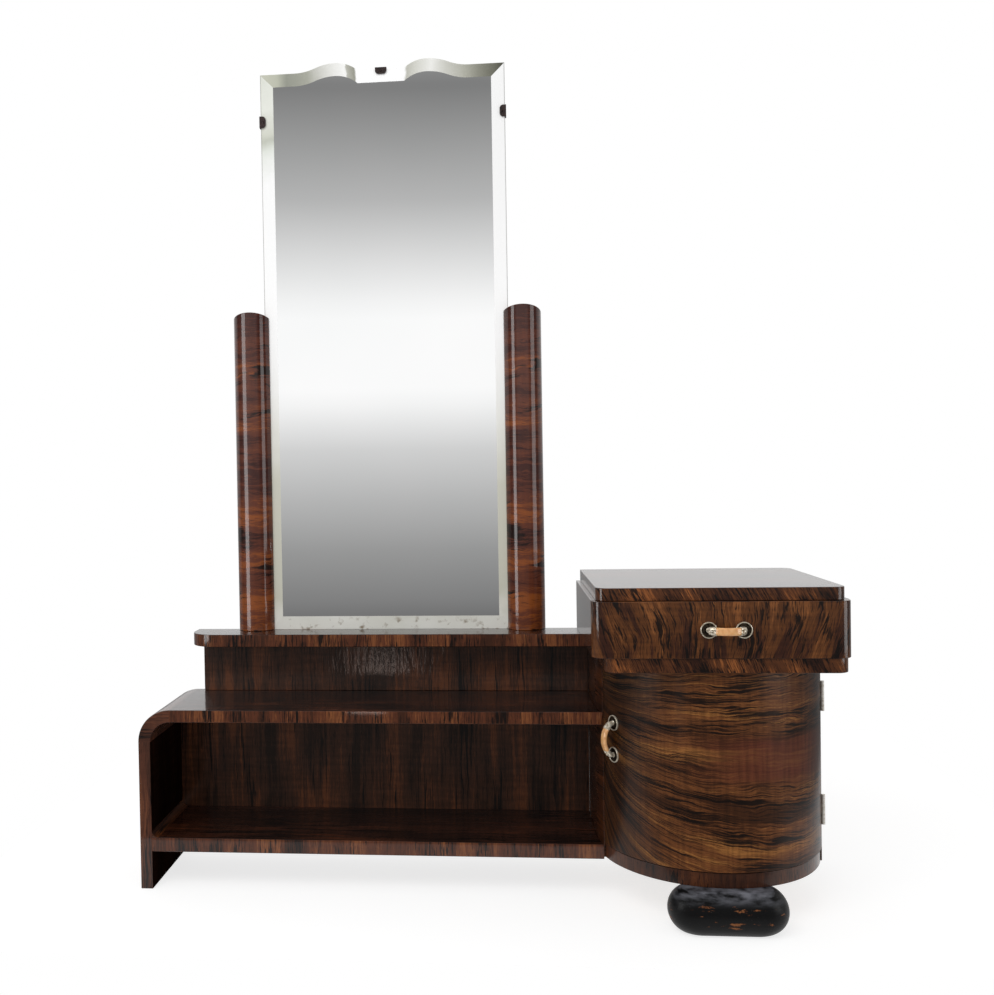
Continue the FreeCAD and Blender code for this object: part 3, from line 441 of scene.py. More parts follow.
# Tones of the bevel along the wavy top from left to right, and up the straight runs
CREST_TONES = (
    (0.0, "#c4c5b6"), (0.06, "#b9bbab"), (0.10, "#93958a"), (0.19, "#a6a79b"), (0.25, "#c9c9c2"),
    (0.31, "#e6e6e2"), (0.355, "#f6f6f4"), (0.36, "#b4b4aa"), (0.395, "#96968a"), (0.402, "#ffffff"),
    (0.595, "#ffffff"), (0.605, "#bcbcb2"), (0.64, "#d2d2ca"), (0.70, "#ecece8"), (0.77, "#cacac2"),
    (0.84, "#acaca0"), (0.89, "#8a8a7e"), (0.95, "#6a6a5e"), (0.985, "#505046"), (1.0, "#6a6a60"))
SIDE_TONES = (
    (0.0, "#f2f1ea"), (0.03, "#e9e8df"), (0.06, "#cfcebf"), (0.26, "#d3d2c4"), (0.38, "#efefea"),
    (0.5, "#ffffff"), (0.8, "#ffffff"), (0.845, "#e4e8e0"), (0.872, "#c4c7bb"), (0.885, "#d6d8cc"),
    (0.93, "#e9ebe3"), (1.0, "#dcdfd5"))


@dataclass(frozen=True)
class GroundBevel:
    """Ground and polished bevel of the mirror, its silver a little stained low down.

    wavy is set for the run along the wavy top, whose slopes face other ways than the straight runs and look
    darker. It has its tones along the top, and the straight runs theirs from bottom to top over the heights
    span. rim says how far in from the glass's sides the ground edge begins and is full, stained the heights
    between which the spots come, and white those between which the right run turns white.
    """

    name: str
    wavy: bool = False
    span: Point = (0.52, 1.81)
    rim: Point = (2.4 * MM, 0.8 * MM)
    stained: Point = (0.558, 0.536)
    white: Point = (1.48, 1.54)

    def make(self) -> Material:
        """Builds the node material.

        Returns:
            The material.
        """
        material, add = new_material(self.name)
        left, right = (corner.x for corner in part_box("mirror_glass"))
        place = add("TexCoord", out="Object")
        x, _, height = add("SeparateXYZ", {"Vector": place}).node.outputs
        cloud = add("TexNoise", {"Vector": place, "Scale": 9.0, "Detail": 4.0})
        mottle = add("MapRange", {"Value": cloud, "From Min": 0.3, "From Max": 0.7, "To Min": -0.02, "To Max": 0.02})
        value, start, end = (x, left, right) if self.wavy else (height, *self.span)
        level = add("MapRange", {"Value": value, "From Min": start, "From Max": end})
        level = add("Math", {0: level, 1: mottle}, operation="ADD")
        colour = add("ValToRGB", {"Fac": level}, stops=CREST_TONES if self.wavy else SIDE_TONES)
        if not self.wavy:
            half = (right - left) / 2
            across = add("Math", {0: x, 1: left + half}, operation="SUBTRACT")
            aside = add("Math", {0: across}, operation="ABSOLUTE")
            stain = add("TexNoise", {"Vector": place, "Scale": 60.0, "Detail": 5.0})
            shares = [add("MapRange", {"Value": value, "From Min": low, "From Max": high, "To Max": most})
                      for value, low, high, most in (
                          (across, 0.0, MM, 1.0), (height, *self.white, 1.0), (stain, 0.58, 0.74, 1.0),
                          (height, *self.stained, 1.0), (aside, half - self.rim[0], half - self.rim[1], 0.65))]
            white, spots = [add("Math", {0: one, 1: other}, operation="MULTIPLY")
                            for one, other in (shares[:2], shares[2:4])]
            # White high up on the right, ground matt at the rim, and spots low down
            for share, tint in ((white, "#ffffff"), (shares[4], "#7f807a"), (spots, "#8d7c66")):
                colour = add("Mix", {0: share, 6: colour, 7: linear(tint)}, 2, data_type="RGBA")
        finish_surface(add, {"Base Color": colour, "Metallic": 0.12, "Roughness": 0.14, "Emission Color": colour,
                             "Emission Strength": 0.15})
        return material


@dataclass(frozen=True)
class MetalFinish:
    """A metal with handling marks: lighter and darker clouds and a roughness that varies with them.

    clean and tarnish are its colours, grain is the size of its clouds in millimetres.
    """

    name: str
    clean: str
    tarnish: str
    roughness: float
    grain: float = 4.0
    metallic: float = 1.0

    def make(self) -> Material:
        """Builds the node material.

        Returns:
            The material.
        """
        material, add = new_material(self.name)
        cloud = add("TexNoise", {"Vector": add("TexCoord", out="Object"), "Scale": 1 / (self.grain * MM),
                                 "Detail": 5.0, "Roughness": 0.6})
        colour = add("ValToRGB", {"Fac": cloud}, stops=(
            (0.38, self.tarnish), (0.55, self.clean), (0.66, self.clean), (0.74, self.tarnish)))
        rough = add("MapRange", {"Value": cloud, "From Min": 0.35, "From Max": 0.65,
                                 "To Min": self.roughness + 0.16, "To Max": self.roughness})
        bump = add("Bump", {"Height": cloud, "Strength": 0.15, "Distance": 0.3 * MM})
        finish_surface(add, {"Base Color": colour, "Metallic": self.metallic, "Roughness": rough, "Normal": bump})
        return material


@dataclass(frozen=True)
class TanResin:
    """Cast and polished tan resin of the grips: warm, faintly cloudy, with scratches from rings."""

    name: str = "cast_resin_tan"

    def make(self) -> Material:
        """Builds the node material.

        Returns:
            The material.
        """
        material, add = new_material(self.name)
        cloud = add("TexNoise", {"Vector": add("TexCoord", out="Object"), "Scale": 120.0, "Detail": 4.0})
        colour = add("ValToRGB", {"Fac": cloud}, stops=((0.3, "#e2a165"), (0.5, "#f3b87c"), (0.7, "#fbc891")))
        bump = add("Bump", {"Height": cloud, "Strength": 0.1, "Distance": 0.2 * MM})
        finish_surface(add, {"Base Color": colour, "Roughness": 0.3, "Coat Weight": 0.6, "Coat Roughness": 0.1,
                             "Subsurface Weight": 0.1, "Subsurface Radius": (0.004, 0.002, 0.001), "Normal": bump})
        return material


class Look(Enum):
    """The finishes of this piece, each made into a material once and shared by the sub-assemblies."""

    DRAWER = WalnutVeneer(
        "walnut_drawer_front", 1.0, "#3b1e12", "#5e3619", "#87522a", stroke_width=6.2, stroke_length=52.0,
        strokes=0.6, sway=4.5, sway_length=60.0, zone=46.0, zone_length=150.0, curl=0.14, curl_spacing=7.0)
    DOOR = WalnutVeneer(
        "walnut_door_crown", 2.0, "#43240f", "#6e401f", "#9c6632", stroke_width=3.6, stroke_length=115.0,
        strokes=0.74, sway_length=95.0, zone=55.0, curl=0.17, curl_spacing=8.0, coat=0.45, gloss=0.26,
        plain=(0.16, 0.36, 0.0, 0.062), toned=(0.06, 0.19, 0.42, 0.53))
    SIDE = WalnutVeneer(
        "walnut_cabinet_side", 2.4, "#2e170d", "#472512", "#653617", stroke_width=4.0, strokes=0.55, sway=7.0,
        coat=0.8, gloss=0.16)
    POST = WalnutVeneer(
        "walnut_column", 3.3, "#43201a", "#643322", "#904d22", dark="#1a0a06", stroke_width=10.0,
        stroke_length=80.0, strokes=0.24, sway_length=60.0, zone=75.0, zone_length=420.0, curl=0.06, relief=0.1)
    EDGE = WalnutVeneer(
        "walnut_edge_stripes", 4.0, "#432415", "#5e321e", "#87502d", stroke_width=4.6, stroke_length=60.0,
        strokes=0.56, sway=2.0, zone=50.0, curl=0.06, relief=0.15)
    PANEL = WalnutVeneer(
        "walnut_side_panel", 4.6, "#40251a", "#532f21", "#6e412b", stroke_width=5.0, stroke_length=160.0,
        strokes=0.25, sway=8.0, zone=50.0, curl=0.08)
    INNER = WalnutVeneer(
        "walnut_stained_unpolished", 4.9, "#140a07", "#1d0f0a", "#2a160e", stroke_length=200.0, strokes=0.4,
        coat=0.0, specular=0.0)
    SHELF = WalnutVeneer(
        "walnut_shelf_tops", 5.5, "#1f0f0a", "#371d13", "#5e311b", stroke_width=6.0, stroke_length=150.0,
        sway=10.0, zone=80.0, gloss=0.1, relief=0.55)
    BACK = WalnutVeneer(
        "walnut_back_upright", 5.0, "#29180f", "#45291b", "#6a3c22", stroke_width=6.0, stroke_length=150.0,
        strokes=0.3, sway=4.0, zone=70.0, coat=0.9, gloss=0.14, relief=1.0)
    BOARD = WalnutVeneer(
        "walnut_boards", 6.0, "#2c170e", "#482716", "#6a3c1f", stroke_width=6.0, stroke_length=160.0, sway=10.0)
    APRON = WalnutVeneer(
        "walnut_apron", 7.0, "#33190d", "#5b331a", "#97592d", stroke_width=5.0, stroke_length=34.0,
        strokes=0.68, sway=3.0, sway_length=60.0, zone=70.0, zone_length=200.0, curl=0.1)
    BAND = WalnutVeneer(
        "walnut_base_band", 8.0, "#321a10", "#432415", "#5a321b", stroke_width=6.0, stroke_length=40.0,
        strokes=0.3, sway=2.0, curl=0.08, coat=0.8, gloss=0.18)
    BEECH = PlainBeech()
    EBONY = EbonisedWood()
    MIRROR = SilveredGlass()
    BEVEL = GroundBevel("bevelled_mirror_edge")
    CREST = GroundBevel("bevelled_mirror_crest", wavy=True)
    CLIP = MetalFinish("lacquered_steel_brown", "#3a2a28", "#22191a", 0.35, metallic=0.2)
    NICKEL = MetalFinish("nickel_plate_aged", "#f2e9d8", "#b8a98e", 0.22, grain=3.0, metallic=0.6)
    DISH = MetalFinish("nickel_plate_blackened", "#4b4237", "#1c1713", 0.35, grain=5.0)
    HINGE = MetalFinish("nickel_plate_satin", "#efebe3", "#c9c0b2", 0.4, grain=6.0, metallic=0.45)
    RESIN = TanResin()

    @cached_property
    def material(self) -> Material:
        """The material, made when it is first asked for."""
        return self.value.make()


# ------------------------------------------------------------------------------------- shapes


def turns(last: float, steps: int, first: float = 0.0) -> list[float]:
    """Evenly spaced numbers from the first to the last, both included."""
    return [first + (last - first) * n / steps for n in range(steps + 1)]


def arc_points(centre: Point, radius: float, start: float, end: float, steps: int) -> list[Point]:
    """Points along an arc.

    Args:
        centre: Its centre.
        radius: Its radius.
        start: First angle in degrees, anticlockwise from the first axis.
        end: Last angle in degrees.
        steps: Number of chords.

    Returns:
        The points, both ends included.
    """
    angles = [math.radians(angle) for angle in turns(end, steps, start)]
    return [(centre[0] + radius * math.cos(t), centre[1] + radius * math.sin(t)) for t in angles]


def rectangle(low: Sequence[float], high: Sequence[float]) -> list[Point]:
    """Rectangle between two opposite corners, anticlockwise."""
    return [(low[0], low[1]), (high[0], low[1]), (high[0], high[1]), (low[0], high[1])]


def plate_outline(low: Sequence[float], high: Sequence[float], radii: Sequence[float], steps: int = 12) -> list[Point]:
    """Rectangle with round corners, anticlockwise.

    Args:
        low: Front left corner.
        high: Back right corner.
        radii: Radius of the front left, front right, back right and back left corner.
        steps: Chords in each round corner.

    Returns:
        The outline's points. The front edge has a point in its middle.
    """
    inward = ((1, 1, 180), (-1, 1, 270), (-1, -1, 0), (1, -1, 90))
    points: list[Point] = []
    for number, ((x, y), (right, up, start), radius) in enumerate(zip(rectangle(low, high), inward, radii)):
        if number == 1:
            points.append(((low[0] + high[0]) / 2, low[1]))
        if radius:
            points += arc_points((x + right * radius, y + up * radius), radius, start, start + 90, steps)
        else:
            points.append((x, y))
    return points


def along_side(spot: Spot) -> Point:
    """Grain that runs round the board's edge."""
    return spot.s, spot.h


def across_side(spot: Spot) -> Point:
    """Grain that crosses the board's edge, as on edges veneered with short pieces."""
    return spot.h, spot.s


def along_cap(spot: Spot) -> Point:
    """Grain that runs along the outline's first axis."""
    return spot.a, spot.b


def across_cap(spot: Spot) -> Point:
    """Grain that runs along the outline's second axis."""
    return spot.b, spot.a


def rim_second(normal: Vector) -> int:
    """Gives a level board's rim the second finish and its two faces the first."""
    return 0 if abs(normal.z) > FACING else 1


@dataclass
class Board:
    """A board or post: an outline swept straight, with softened edges and a grain map.

    The outline is anticlockwise, low and high are the ends of the sweep, and soft is the radius of
    the edges. sharp says of an edge's middle, in the board's own axes, that it is a joint and stays.
    top gives the height of the upper end where that isn't level, and finish a face's number among
    the piece's materials from the way it faces.
    """

    name: str
    outline: list[Point]
    low: float
    high: float
    axis: Axis = Axis.UP
    soft: float = 1.2 * MM
    side: Grain = across_side
    cap: Grain = along_cap
    sharp: Callable[[Vector], bool] = lambda middle: False
    top: Callable[[Vector], float] | None = None
    finish: Callable[[Vector], int] = lambda normal: 0

    def build(self) -> Piece:
        """Builds the mesh with its grain map and links its object.

        Returns:
            The new object, at the origin.
        """
        shape = bmesh.new()
        base = shape.faces.new([shape.verts.new((a, b, self.low)) for a, b in self.outline])
        made = bmesh.ops.extrude_face_region(shape, geom=[base])
        for item in made["geom"]:
            if isinstance(item, bmesh.types.BMVert):
                item.co.z = self.top(item.co) if self.top else self.high
        bmesh.ops.recalc_face_normals(shape, faces=shape.faces)
        edges = [e for e in shape.edges if e.calc_face_angle(0.0) > CREASE
                 and not self.sharp((e.verts[0].co + e.verts[1].co) / 2)]
        bmesh.ops.bevel(shape, geom=edges, offset=self.soft, offset_type="OFFSET", segments=SOFT_STEPS,
                        profile=0.5, affect="EDGES", clamp_overlap=True)
        bmesh.ops.triangulate(shape, faces=[f for f in shape.faces if len(f.verts) > 4])
        self._map_grain(shape)
        if self.axis is Axis.BACK:
            for vertex in shape.verts:
                vertex.co = vertex.co.xzy
            bmesh.ops.reverse_faces(shape, faces=shape.faces)
        shape.normal_update()
        for surface in shape.faces:
            surface.material_index = self.finish(surface.normal)
        return link_mesh(self.name, shape)

    def _map_grain(self, shape: Shape) -> None:
        """Writes the grain map.

        Args:
            shape: The board in its own axes.
        """
        layer = shape.loops.layers.uv.new(GRAIN_MAP)
        shape.verts.index_update()
        ways, length = outline_ways([(v.co.x, v.co.y) for v in shape.verts], self.outline)
        for surface in shape.faces:
            grain = self.cap if abs(surface.normal.z) > FACING else self.side
            # A face that crosses the outline's start keeps the way of its first corner
            first = ways[surface.verts[0].index]
            for loop in surface.loops:
                way = ways[loop.vert.index]
                way += length if first - way > length / 2 else -length if way - first > length / 2 else 0.0
                loop[layer].uv = grain(Spot(*loop.vert.co, way))


def outline_ways(places: Sequence[Point], outline: Sequence[Point]) -> tuple[list[float], float]:
    """How far along an outline each place lies.

    Args:
        places: Places on or near the outline.
        outline: Closed outline.

    Returns:
        For each place the way from the outline's first point to the nearest point on it, and the way all round.
    """
    start = np.array(outline, float)
    run = np.roll(start, -1, axis=0) - start
    lengths = np.linalg.norm(run, axis=1)
    before = np.concatenate([[0.0], np.cumsum(lengths)])
    ways = []
    for place in places:
        offset = np.array(place) - start
        share = np.clip((offset * run).sum(1) / np.maximum(lengths, TINY) ** 2, 0, 1)
        best = int(np.linalg.norm(offset - run * share[:, None], axis=1).argmin())
        ways.append(float(before[best] + share[best] * lengths[best]))
    return ways, float(before[-1])


def link_mesh(name: str, shape: Shape) -> Piece:
    """Turns a finished mesh in the making into an object that is shaded smoothly over its edges.

    Args:
        name: Name of the piece.
        shape: The mesh, which is freed.

    Returns:
        The linked object.
    """
    mesh = bpy.data.meshes.new(name)
    for surface in shape.faces:
        surface.smooth = True
    shape.to_mesh(mesh)
    shape.free()
    mesh.set_sharp_from_angle(angle=SHARP)
    piece = bpy.data.objects.new(name, mesh)
    bpy.context.scene.collection.objects.link(piece)
    shade_edges(piece)
    return piece


def shade_edges(piece: Piece) -> None:
    """Shades softened edges so that the flat faces beside them stay flat."""
    piece.modifiers.new("edge_shading", "WEIGHTED_NORMAL").keep_sharp = True


def join_rings(shape: Shape, lower: list, upper: list) -> None:
    """Joins two rings of points with faces, where a ring of one point is a tip.

    Args:
        shape: Mesh that holds the points.
        lower: First ring.
        upper: Second ring.
    """
    count = max(len(lower), len(upper))
    for n in range(count):
        after = (n + 1) % count
        corners = (lower[n % len(lower)], lower[after % len(lower)], upper[after % len(upper)], upper[n % len(upper)])
        shape.faces.new(list(dict.fromkeys(corners)))


def skin_rings(shape: Shape, rings: list) -> None:
    """Closes the first and the last of some rings of points, joins them all and turns the faces outwards.

    Args:
        shape: Mesh that holds the points.
        rings: The rings, in order.
    """
    shape.faces.new(rings[0])
    shape.faces.new(list(reversed(rings[-1])))
    for lower, upper in zip(rings, rings[1:]):
        join_rings(shape, lower, upper)
    bmesh.ops.recalc_face_normals(shape, faces=shape.faces)


class NodeShop:
    """The node trees that bend boards and set small hardware, and the run that turns them into meshes."""

    def __init__(self) -> None:
        """Makes both trees."""
        self.bend = self._tree("bend_round_front", self._bend, {
            "Radius": "Float", "Centre X": "Float", "Centre Y": "Float", "Finish": "Material"})
        self.repeat = self._tree("set_hardware", self._repeat, {
            "Template": "Object", "Largest Turn": "Float", "Finish": "Material"})

    @staticmethod
    def _tree(name: str, fill: Callable[[Add, dict], Socket], inputs: dict[str, str]) -> Tree:
        """Makes a tree that takes and gives geometry, with real faces and a finish at its end.

        Args:
            name: Name of the tree.
            fill: Adds the nodes and gives the geometry that comes out of them.
            inputs: Name and type of each input after the geometry.

        Returns:
            The tree.
        """
        tree = bpy.data.node_groups.new(name, "GeometryNodeTree")
        tree.interface.new_socket("Geometry", in_out="INPUT", socket_type="NodeSocketGeometry")
        for label, kind in inputs.items():
            tree.interface.new_socket(label, in_out="INPUT", socket_type=f"NodeSocket{kind}")
        tree.interface.new_socket("Geometry", in_out="OUTPUT", socket_type="NodeSocketGeometry")
        add = partial(add_node, tree)
        given = {socket.name: socket for socket in add("NodeGroupInput").node.outputs}
        real = add("GeometryNodeRealizeInstances", {"Geometry": fill(add, given)})
        add("NodeGroupOutput", {
            "Geometry": add("GeometryNodeSetMaterial", {"Geometry": real, "Material": given["Finish"]})})
        return tree

    @staticmethod
    def _bend(add: Add, given: dict) -> Socket:
        """Bends a flat board round an upright axis.

        The flat board has the way along its outer face on X, its depth on Y and its height on Z.
        Past a quarter turn to either side it runs straight to the back.

        Args:
            add: Adds a node to the tree.
            given: The tree's inputs.

        Returns:
            The bent geometry.
        """
        radius = given["Radius"]
        way, depth, height = add("SeparateXYZ", {0: add("GeometryNodeInputPosition")}).node.outputs
        turn = add("Math", {0: way, 1: radius}, operation="DIVIDE")
        turn = add("Clamp", {"Value": turn, "Min": -math.pi / 2, "Max": math.pi / 2})
        quarter = add("Math", {0: radius, 1: math.pi / 2}, operation="MULTIPLY")
        past = add("Math", {0: add("Math", {0: way}, operation="ABSOLUTE"), 1: quarter}, operation="SUBTRACT")
        past = add("Math", {0: past, 1: 0.0}, operation="MAXIMUM")
        out = add("Math", {0: radius, 1: depth}, operation="SUBTRACT")
        sine, cosine = [add("Math", {0: turn}, operation=name) for name in ("SINE", "COSINE")]
        x = add("Math", {0: out, 1: sine, 2: given["Centre X"]}, operation="MULTIPLY_ADD")
        back = add("Math", {0: given["Centre Y"], 1: past}, operation="ADD")
        y = add("Math", {0: back, 1: add("Math", {0: out, 1: cosine}, operation="MULTIPLY")}, operation="SUBTRACT")
        place = add("CombineXYZ", {"X": x, "Y": y, "Z": height})
        return add("GeometryNodeSetPosition", {"Geometry": given["Geometry"], "Position": place})

    @staticmethod
    def _repeat(add: Add, given: dict) -> Socket:
        """Sets one template on every point, facing the way that the point says.

        Args:
            add: Adds a node to the tree.
            given: The tree's inputs.

        Returns:
            The instances.
        """
        template = add("GeometryNodeObjectInfo", {"Object": given["Template"], "As Instance": True}, "Geometry")
        facing = add("GeometryNodeInputNamedAttribute", {"Name": "facing"}, data_type="FLOAT_VECTOR")
        upright = add("FunctionNodeAlignRotationToVector", {"Vector": facing}, axis="Z")
        # Screws stop at any angle: each slot is turned by its own amount
        angle = add("FunctionNodeRandomValue", {2: 0.0, 3: given["Largest Turn"], "Seed": 7}, 1, data_type="FLOAT")
        spin = add("FunctionNodeAxisAngleToRotation", {"Axis": (0, 0, 1), "Angle": angle})
        turned = add("FunctionNodeRotateRotation", {"Rotation": upright, "Rotate By": spin}, rotation_space="LOCAL")
        return add("GeometryNodeInstanceOnPoints", {
            "Points": given["Geometry"], "Instance": template, "Rotation": turned})

    @staticmethod
    def run(piece: Piece, tree: Tree, **inputs: object) -> Piece:
        """Runs a tree on a piece and keeps the result as a plain mesh.

        Args:
            piece: The piece, whose mesh is replaced.
            tree: The tree.
            **inputs: Its inputs by name, with _ for a space.

        Returns:
            The same piece.
        """
        piece.modifiers.clear()
        nodes = piece.modifiers.new(tree.name, "NODES")
        nodes.node_group = tree
        for item in tree.interface.items_tree:
            if item.in_out == "INPUT" and item.name.replace(" ", "_") in inputs:
                nodes[item.identifier] = inputs[item.name.replace(" ", "_")]
        graph = bpy.context.evaluated_depsgraph_get()
        mesh = bpy.data.meshes.new_from_object(piece.evaluated_get(graph), depsgraph=graph)
        piece.modifiers.remove(nodes)
        mesh.name = piece.name
        piece.data = mesh
        shade_edges(piece)
        return piece

    def set_hardware(self, name: str, template: Piece, spots: Sequence[tuple[Vector, Vector]], look: Look,
                     largest_turn: float = 0.0) -> Piece:
        """Sets a template on every spot.

        Args:
            name: Name of the new piece.
            template: What is set, with its axis on Z.
            spots: Place and facing of each one.
            look: Its finish.
            largest_turn: Each is turned about its axis by up to this angle.

        Returns:
            The new piece.
        """
        mesh = bpy.data.meshes.new(name)
        mesh.from_pydata([place for place, facing in spots], [], [])
        layer = mesh.attributes.new("facing", "FLOAT_VECTOR", "POINT")
        for value, (place, facing) in zip(layer.data, spots):
            value.vector = facing
        piece = bpy.data.objects.new(name, mesh)
        bpy.context.scene.collection.objects.link(piece)
        return self.run(piece, self.repeat, Template=template, Largest_Turn=largest_turn, Finish=look.material)


@dataclass
class Turned:
    """A turned piece: rings of points about an axis, closed at both ends.

    head_from and slot_floor are the shares of its height above which a driver's slot cuts it, and that
    the slot leaves.
    """

    profile: list[Point]
    steps: int = 48
    head_from: float = 0.3
    slot_floor: float = 0.2

    def add_to(self, shape: Shape, place: Matrix) -> None:
        """Adds the turned shape to a mesh.

        Args:
            shape: Mesh that gets it.
            place: Where its axis goes: the axis is the matrix's Z.
        """
        rings = []
        for radius, height in self.profile:
            angles = turns(math.tau, self.steps)[:-1] if radius > TINY else [0.0]
            rings.append([shape.verts.new(place @ Vector((radius * math.cos(t), radius * math.sin(t), height)))
                          for t in angles])
        for lower, upper in zip(rings, rings[1:]):
            join_rings(shape, lower, upper)

    def template(self, name: str, slot: float = 0.0) -> Piece:
        """Builds it as a template at the origin that isn't in the scene.

        Args:
            name: Name of the template.
            slot: Width of the driver's slot, or 0 for none. The slot is cut below the highest point by its width.

        Returns:
            The template.
        """
        shape = bmesh.new()
        self.add_to(shape, Matrix.Identity(4))
        if slot:
            for side in (-1, 1):
                bmesh.ops.bisect_plane(shape, geom=shape.verts[:] + shape.edges[:] + shape.faces[:], dist=TINY,
                                       plane_co=(0, side * slot / 2, 0), plane_no=(0, 1, 0))
            peak = max(v.co.z for v in shape.verts)
            for vertex in shape.verts:
                if abs(vertex.co.y) < slot / 2 - TINY and vertex.co.z > peak * self.head_from:
                    vertex.co.z = max(vertex.co.z - slot, peak * self.slot_floor)
        bmesh.ops.recalc_face_normals(shape, faces=shape.faces)
        piece = link_mesh(name, shape)
        piece.modifiers.clear()
        bpy.context.scene.collection.objects.unlink(piece)
        return piece


# ------------------------------------------------------------------------------ sub-assemblies


def install(piece: Piece, body: str, node: str | None, slot: str, *looks: Look) -> None:
    """Gives a finished piece its materials and its place in the frame, and reports it.

    Args:
        piece: The new piece.
        body: Body it rides on.
        node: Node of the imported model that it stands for, if any.
        slot: Material slot of the record.
        *looks: Its finishes, in the order of its faces' numbers.
    """
    for look in looks:
        piece.data.materials.append(look.material)
    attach(piece, body)
    if node:
        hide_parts(node)
    LOG.info("%s on %s, %d faces", piece.name, body, len(piece.data.polygons))


def dress_node(node: str, look: Look) -> None:
    """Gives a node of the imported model, whose solid stays, its finish.

    Args:
        node: The node.
        look: Its finish.
    """
    materials = frame["nodes"][node].data.materials
    materials.clear()
    materials.append(look.material)
    LOG.info("%s keeps its solid", node)


def dressed(node: str) -> str:
    """Name of the piece that stands for a node."""
    return f"{node}_dressed"


def add_board(node: str, outline: list[Point], *looks: Look, body: str = CARCASS, slot: str = VENEER,
              axis: Axis = Axis.UP, **shape) -> None:
    """Builds a board between the ends of its node and installs it.

    Args:
        node: Node it stands for.
        outline: Its outline in plan, or as seen from the front.
        *looks: Its finishes, in the order of its faces' numbers.
        body: Body it rides on.
        slot: Material slot of the record.
        axis: Direction in which the outline is swept.
        **shape: Further fields of the board.
    """
    low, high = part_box(node)
    ends = (low.z, high.z) if axis is Axis.UP else (low.y, high.y)
    install(Board(dressed(node), outline, *ends, axis, **shape).build(), body, node, slot, *looks)


@dataclass
class RoundCabinet:
    """Half round cabinet: curved door, sides, floor, base band and inner shelf.

    The door spans edge_angle to either side of the front, and a board bent round it has a chord for
    every chord degrees, and fewest chords at least. The door's grain fans out from its left edge at
    fan_height, opens within about fan_reach, and is drawn together there to the shares fan_tight above
    and below.
    """

    shop: NodeShop
    wall: float = 18 * MM
    edge_angle: float = 72.0
    chord: float = 1.5
    fewest: int = 12
    steps: int = 60
    flank_steps: int = 8
    door_gap: float = 1.5 * MM
    band_recess: float = 3 * MM
    band_thick: float = 4 * MM
    band_reach: float = 1.35 * MM
    shelf_gap: float = 6 * MM
    fan_height: float = 0.335
    fan_reach: float = 0.17
    fan_tight: Point = (0.72, 0.40)

    def __post_init__(self) -> None:
        """Reads the cabinet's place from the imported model."""
        low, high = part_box("cabinet_left_side")
        self.left, self.right, self.back = low.x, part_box("cabinet_right_side")[1].x, high.y
        self.radius = (self.right - self.left) / 2
        self.centre = ((self.left + self.right) / 2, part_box("door_panel")[0].y + self.radius)
        self.sweep = math.radians(self.edge_angle) * self.radius - self.door_gap

    def place(self, radius: float, angle: float) -> Point:
        """Plan place at a distance from the cabinet's axis, with the angle counted from the front to the right."""
        turn = math.radians(angle)
        return self.centre[0] + radius * math.sin(turn), self.centre[1] - radius * math.cos(turn)

    def fan(self, spot: Spot) -> Point:
        """Grain lines that fan out from the door's left edge.

        Args:
            spot: Place on the door.

        Returns:
            Its place along and across the grain.
        """
        way = spot.a + self.sweep
        spread = 1 - math.exp(-max(way, 0.0) / self.fan_reach)
        tight = self.fan_tight[0] if spot.h > self.fan_height else self.fan_tight[1]
        return way, (spot.h - self.fan_height) / (tight + (1 - tight) * spread)

    def bent(self, node: str, start: float, end: float, look: Look, inset: float = 0.0, thick: float | None = None,
             soft: float = 1.2 * MM, side: Grain = along_side, body: str = CARCASS) -> None:
        """Builds a board bent round the front and installs it.

        Args:
            node: Node it stands for.
            start: Way along the outer face where it begins, counted from the front's middle to the right.
            end: Way where it ends.
            look: Its finish.
            inset: How far its outer face lies inside the door's.
            thick: Its thickness, or None for that of the wall.
            soft: Radius of its edges.
            side: Grain of its outer face.
            body: Body it rides on.
        """
        low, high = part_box(node)
        face = self.radius - inset
        chords = round(abs(end - start) / (face * math.radians(self.chord)))
        ways = turns(end, max(self.fewest, chords), start)
        outline = [(way, 0.0) for way in ways] + [(way, thick or self.wall) for way in reversed(ways)]
        flat = Board(dressed(node), outline, low.z, high.z, soft=soft, side=side).build()
        self.shop.run(flat, self.shop.bend, Radius=face, Centre_X=self.centre[0], Centre_Y=self.centre[1],
                      Finish=look.material)
        install(flat, body, node, VENEER)

    def build(self) -> None:
        """Builds and installs all its pieces."""
        edge, centre, band = self.edge_angle, self.centre, self.radius - self.band_recess
        reach = math.radians(edge) * band + self.band_reach
        begin = math.radians(edge) * self.radius + self.door_gap
        finish = math.pi / 2 * self.radius + self.back - centre[1]
        self.bent("door_panel", -self.sweep, self.sweep, Look.DOOR, side=self.fan, body=DOOR)
        self.bent("base_band", -reach, reach, Look.BAND, self.band_recess, self.band_thick, 0.8 * MM, across_side)
        self.bent("cabinet_left_side", -finish, -begin, Look.SIDE)
        self.bent("cabinet_right_side", begin, finish, Look.SIDE)
        inner = self.radius - self.wall
        outline = arc_points(centre, band - self.band_thick, -90 - edge, -90 + edge, self.steps)
        outline += arc_points(centre, inner, -90 + edge, 0, self.flank_steps)
        outline += [(centre[0] + inner, self.back), (centre[0] - inner, self.back)]
        outline += arc_points(centre, inner, -180, -90 - edge, self.flank_steps)
        add_board("cabinet_bottom", outline, Look.BEECH, slot=PLAIN, soft=0.5 * MM, side=along_side)
        low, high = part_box("cabinet_shelf")
        outline = arc_points(centre, inner - self.shelf_gap, -180, 0, self.steps)
        outline += [(high.x, high.y), (low.x, high.y)]
        add_board("cabinet_shelf", outline, Look.BEECH, slot=PLAIN, side=along_side)


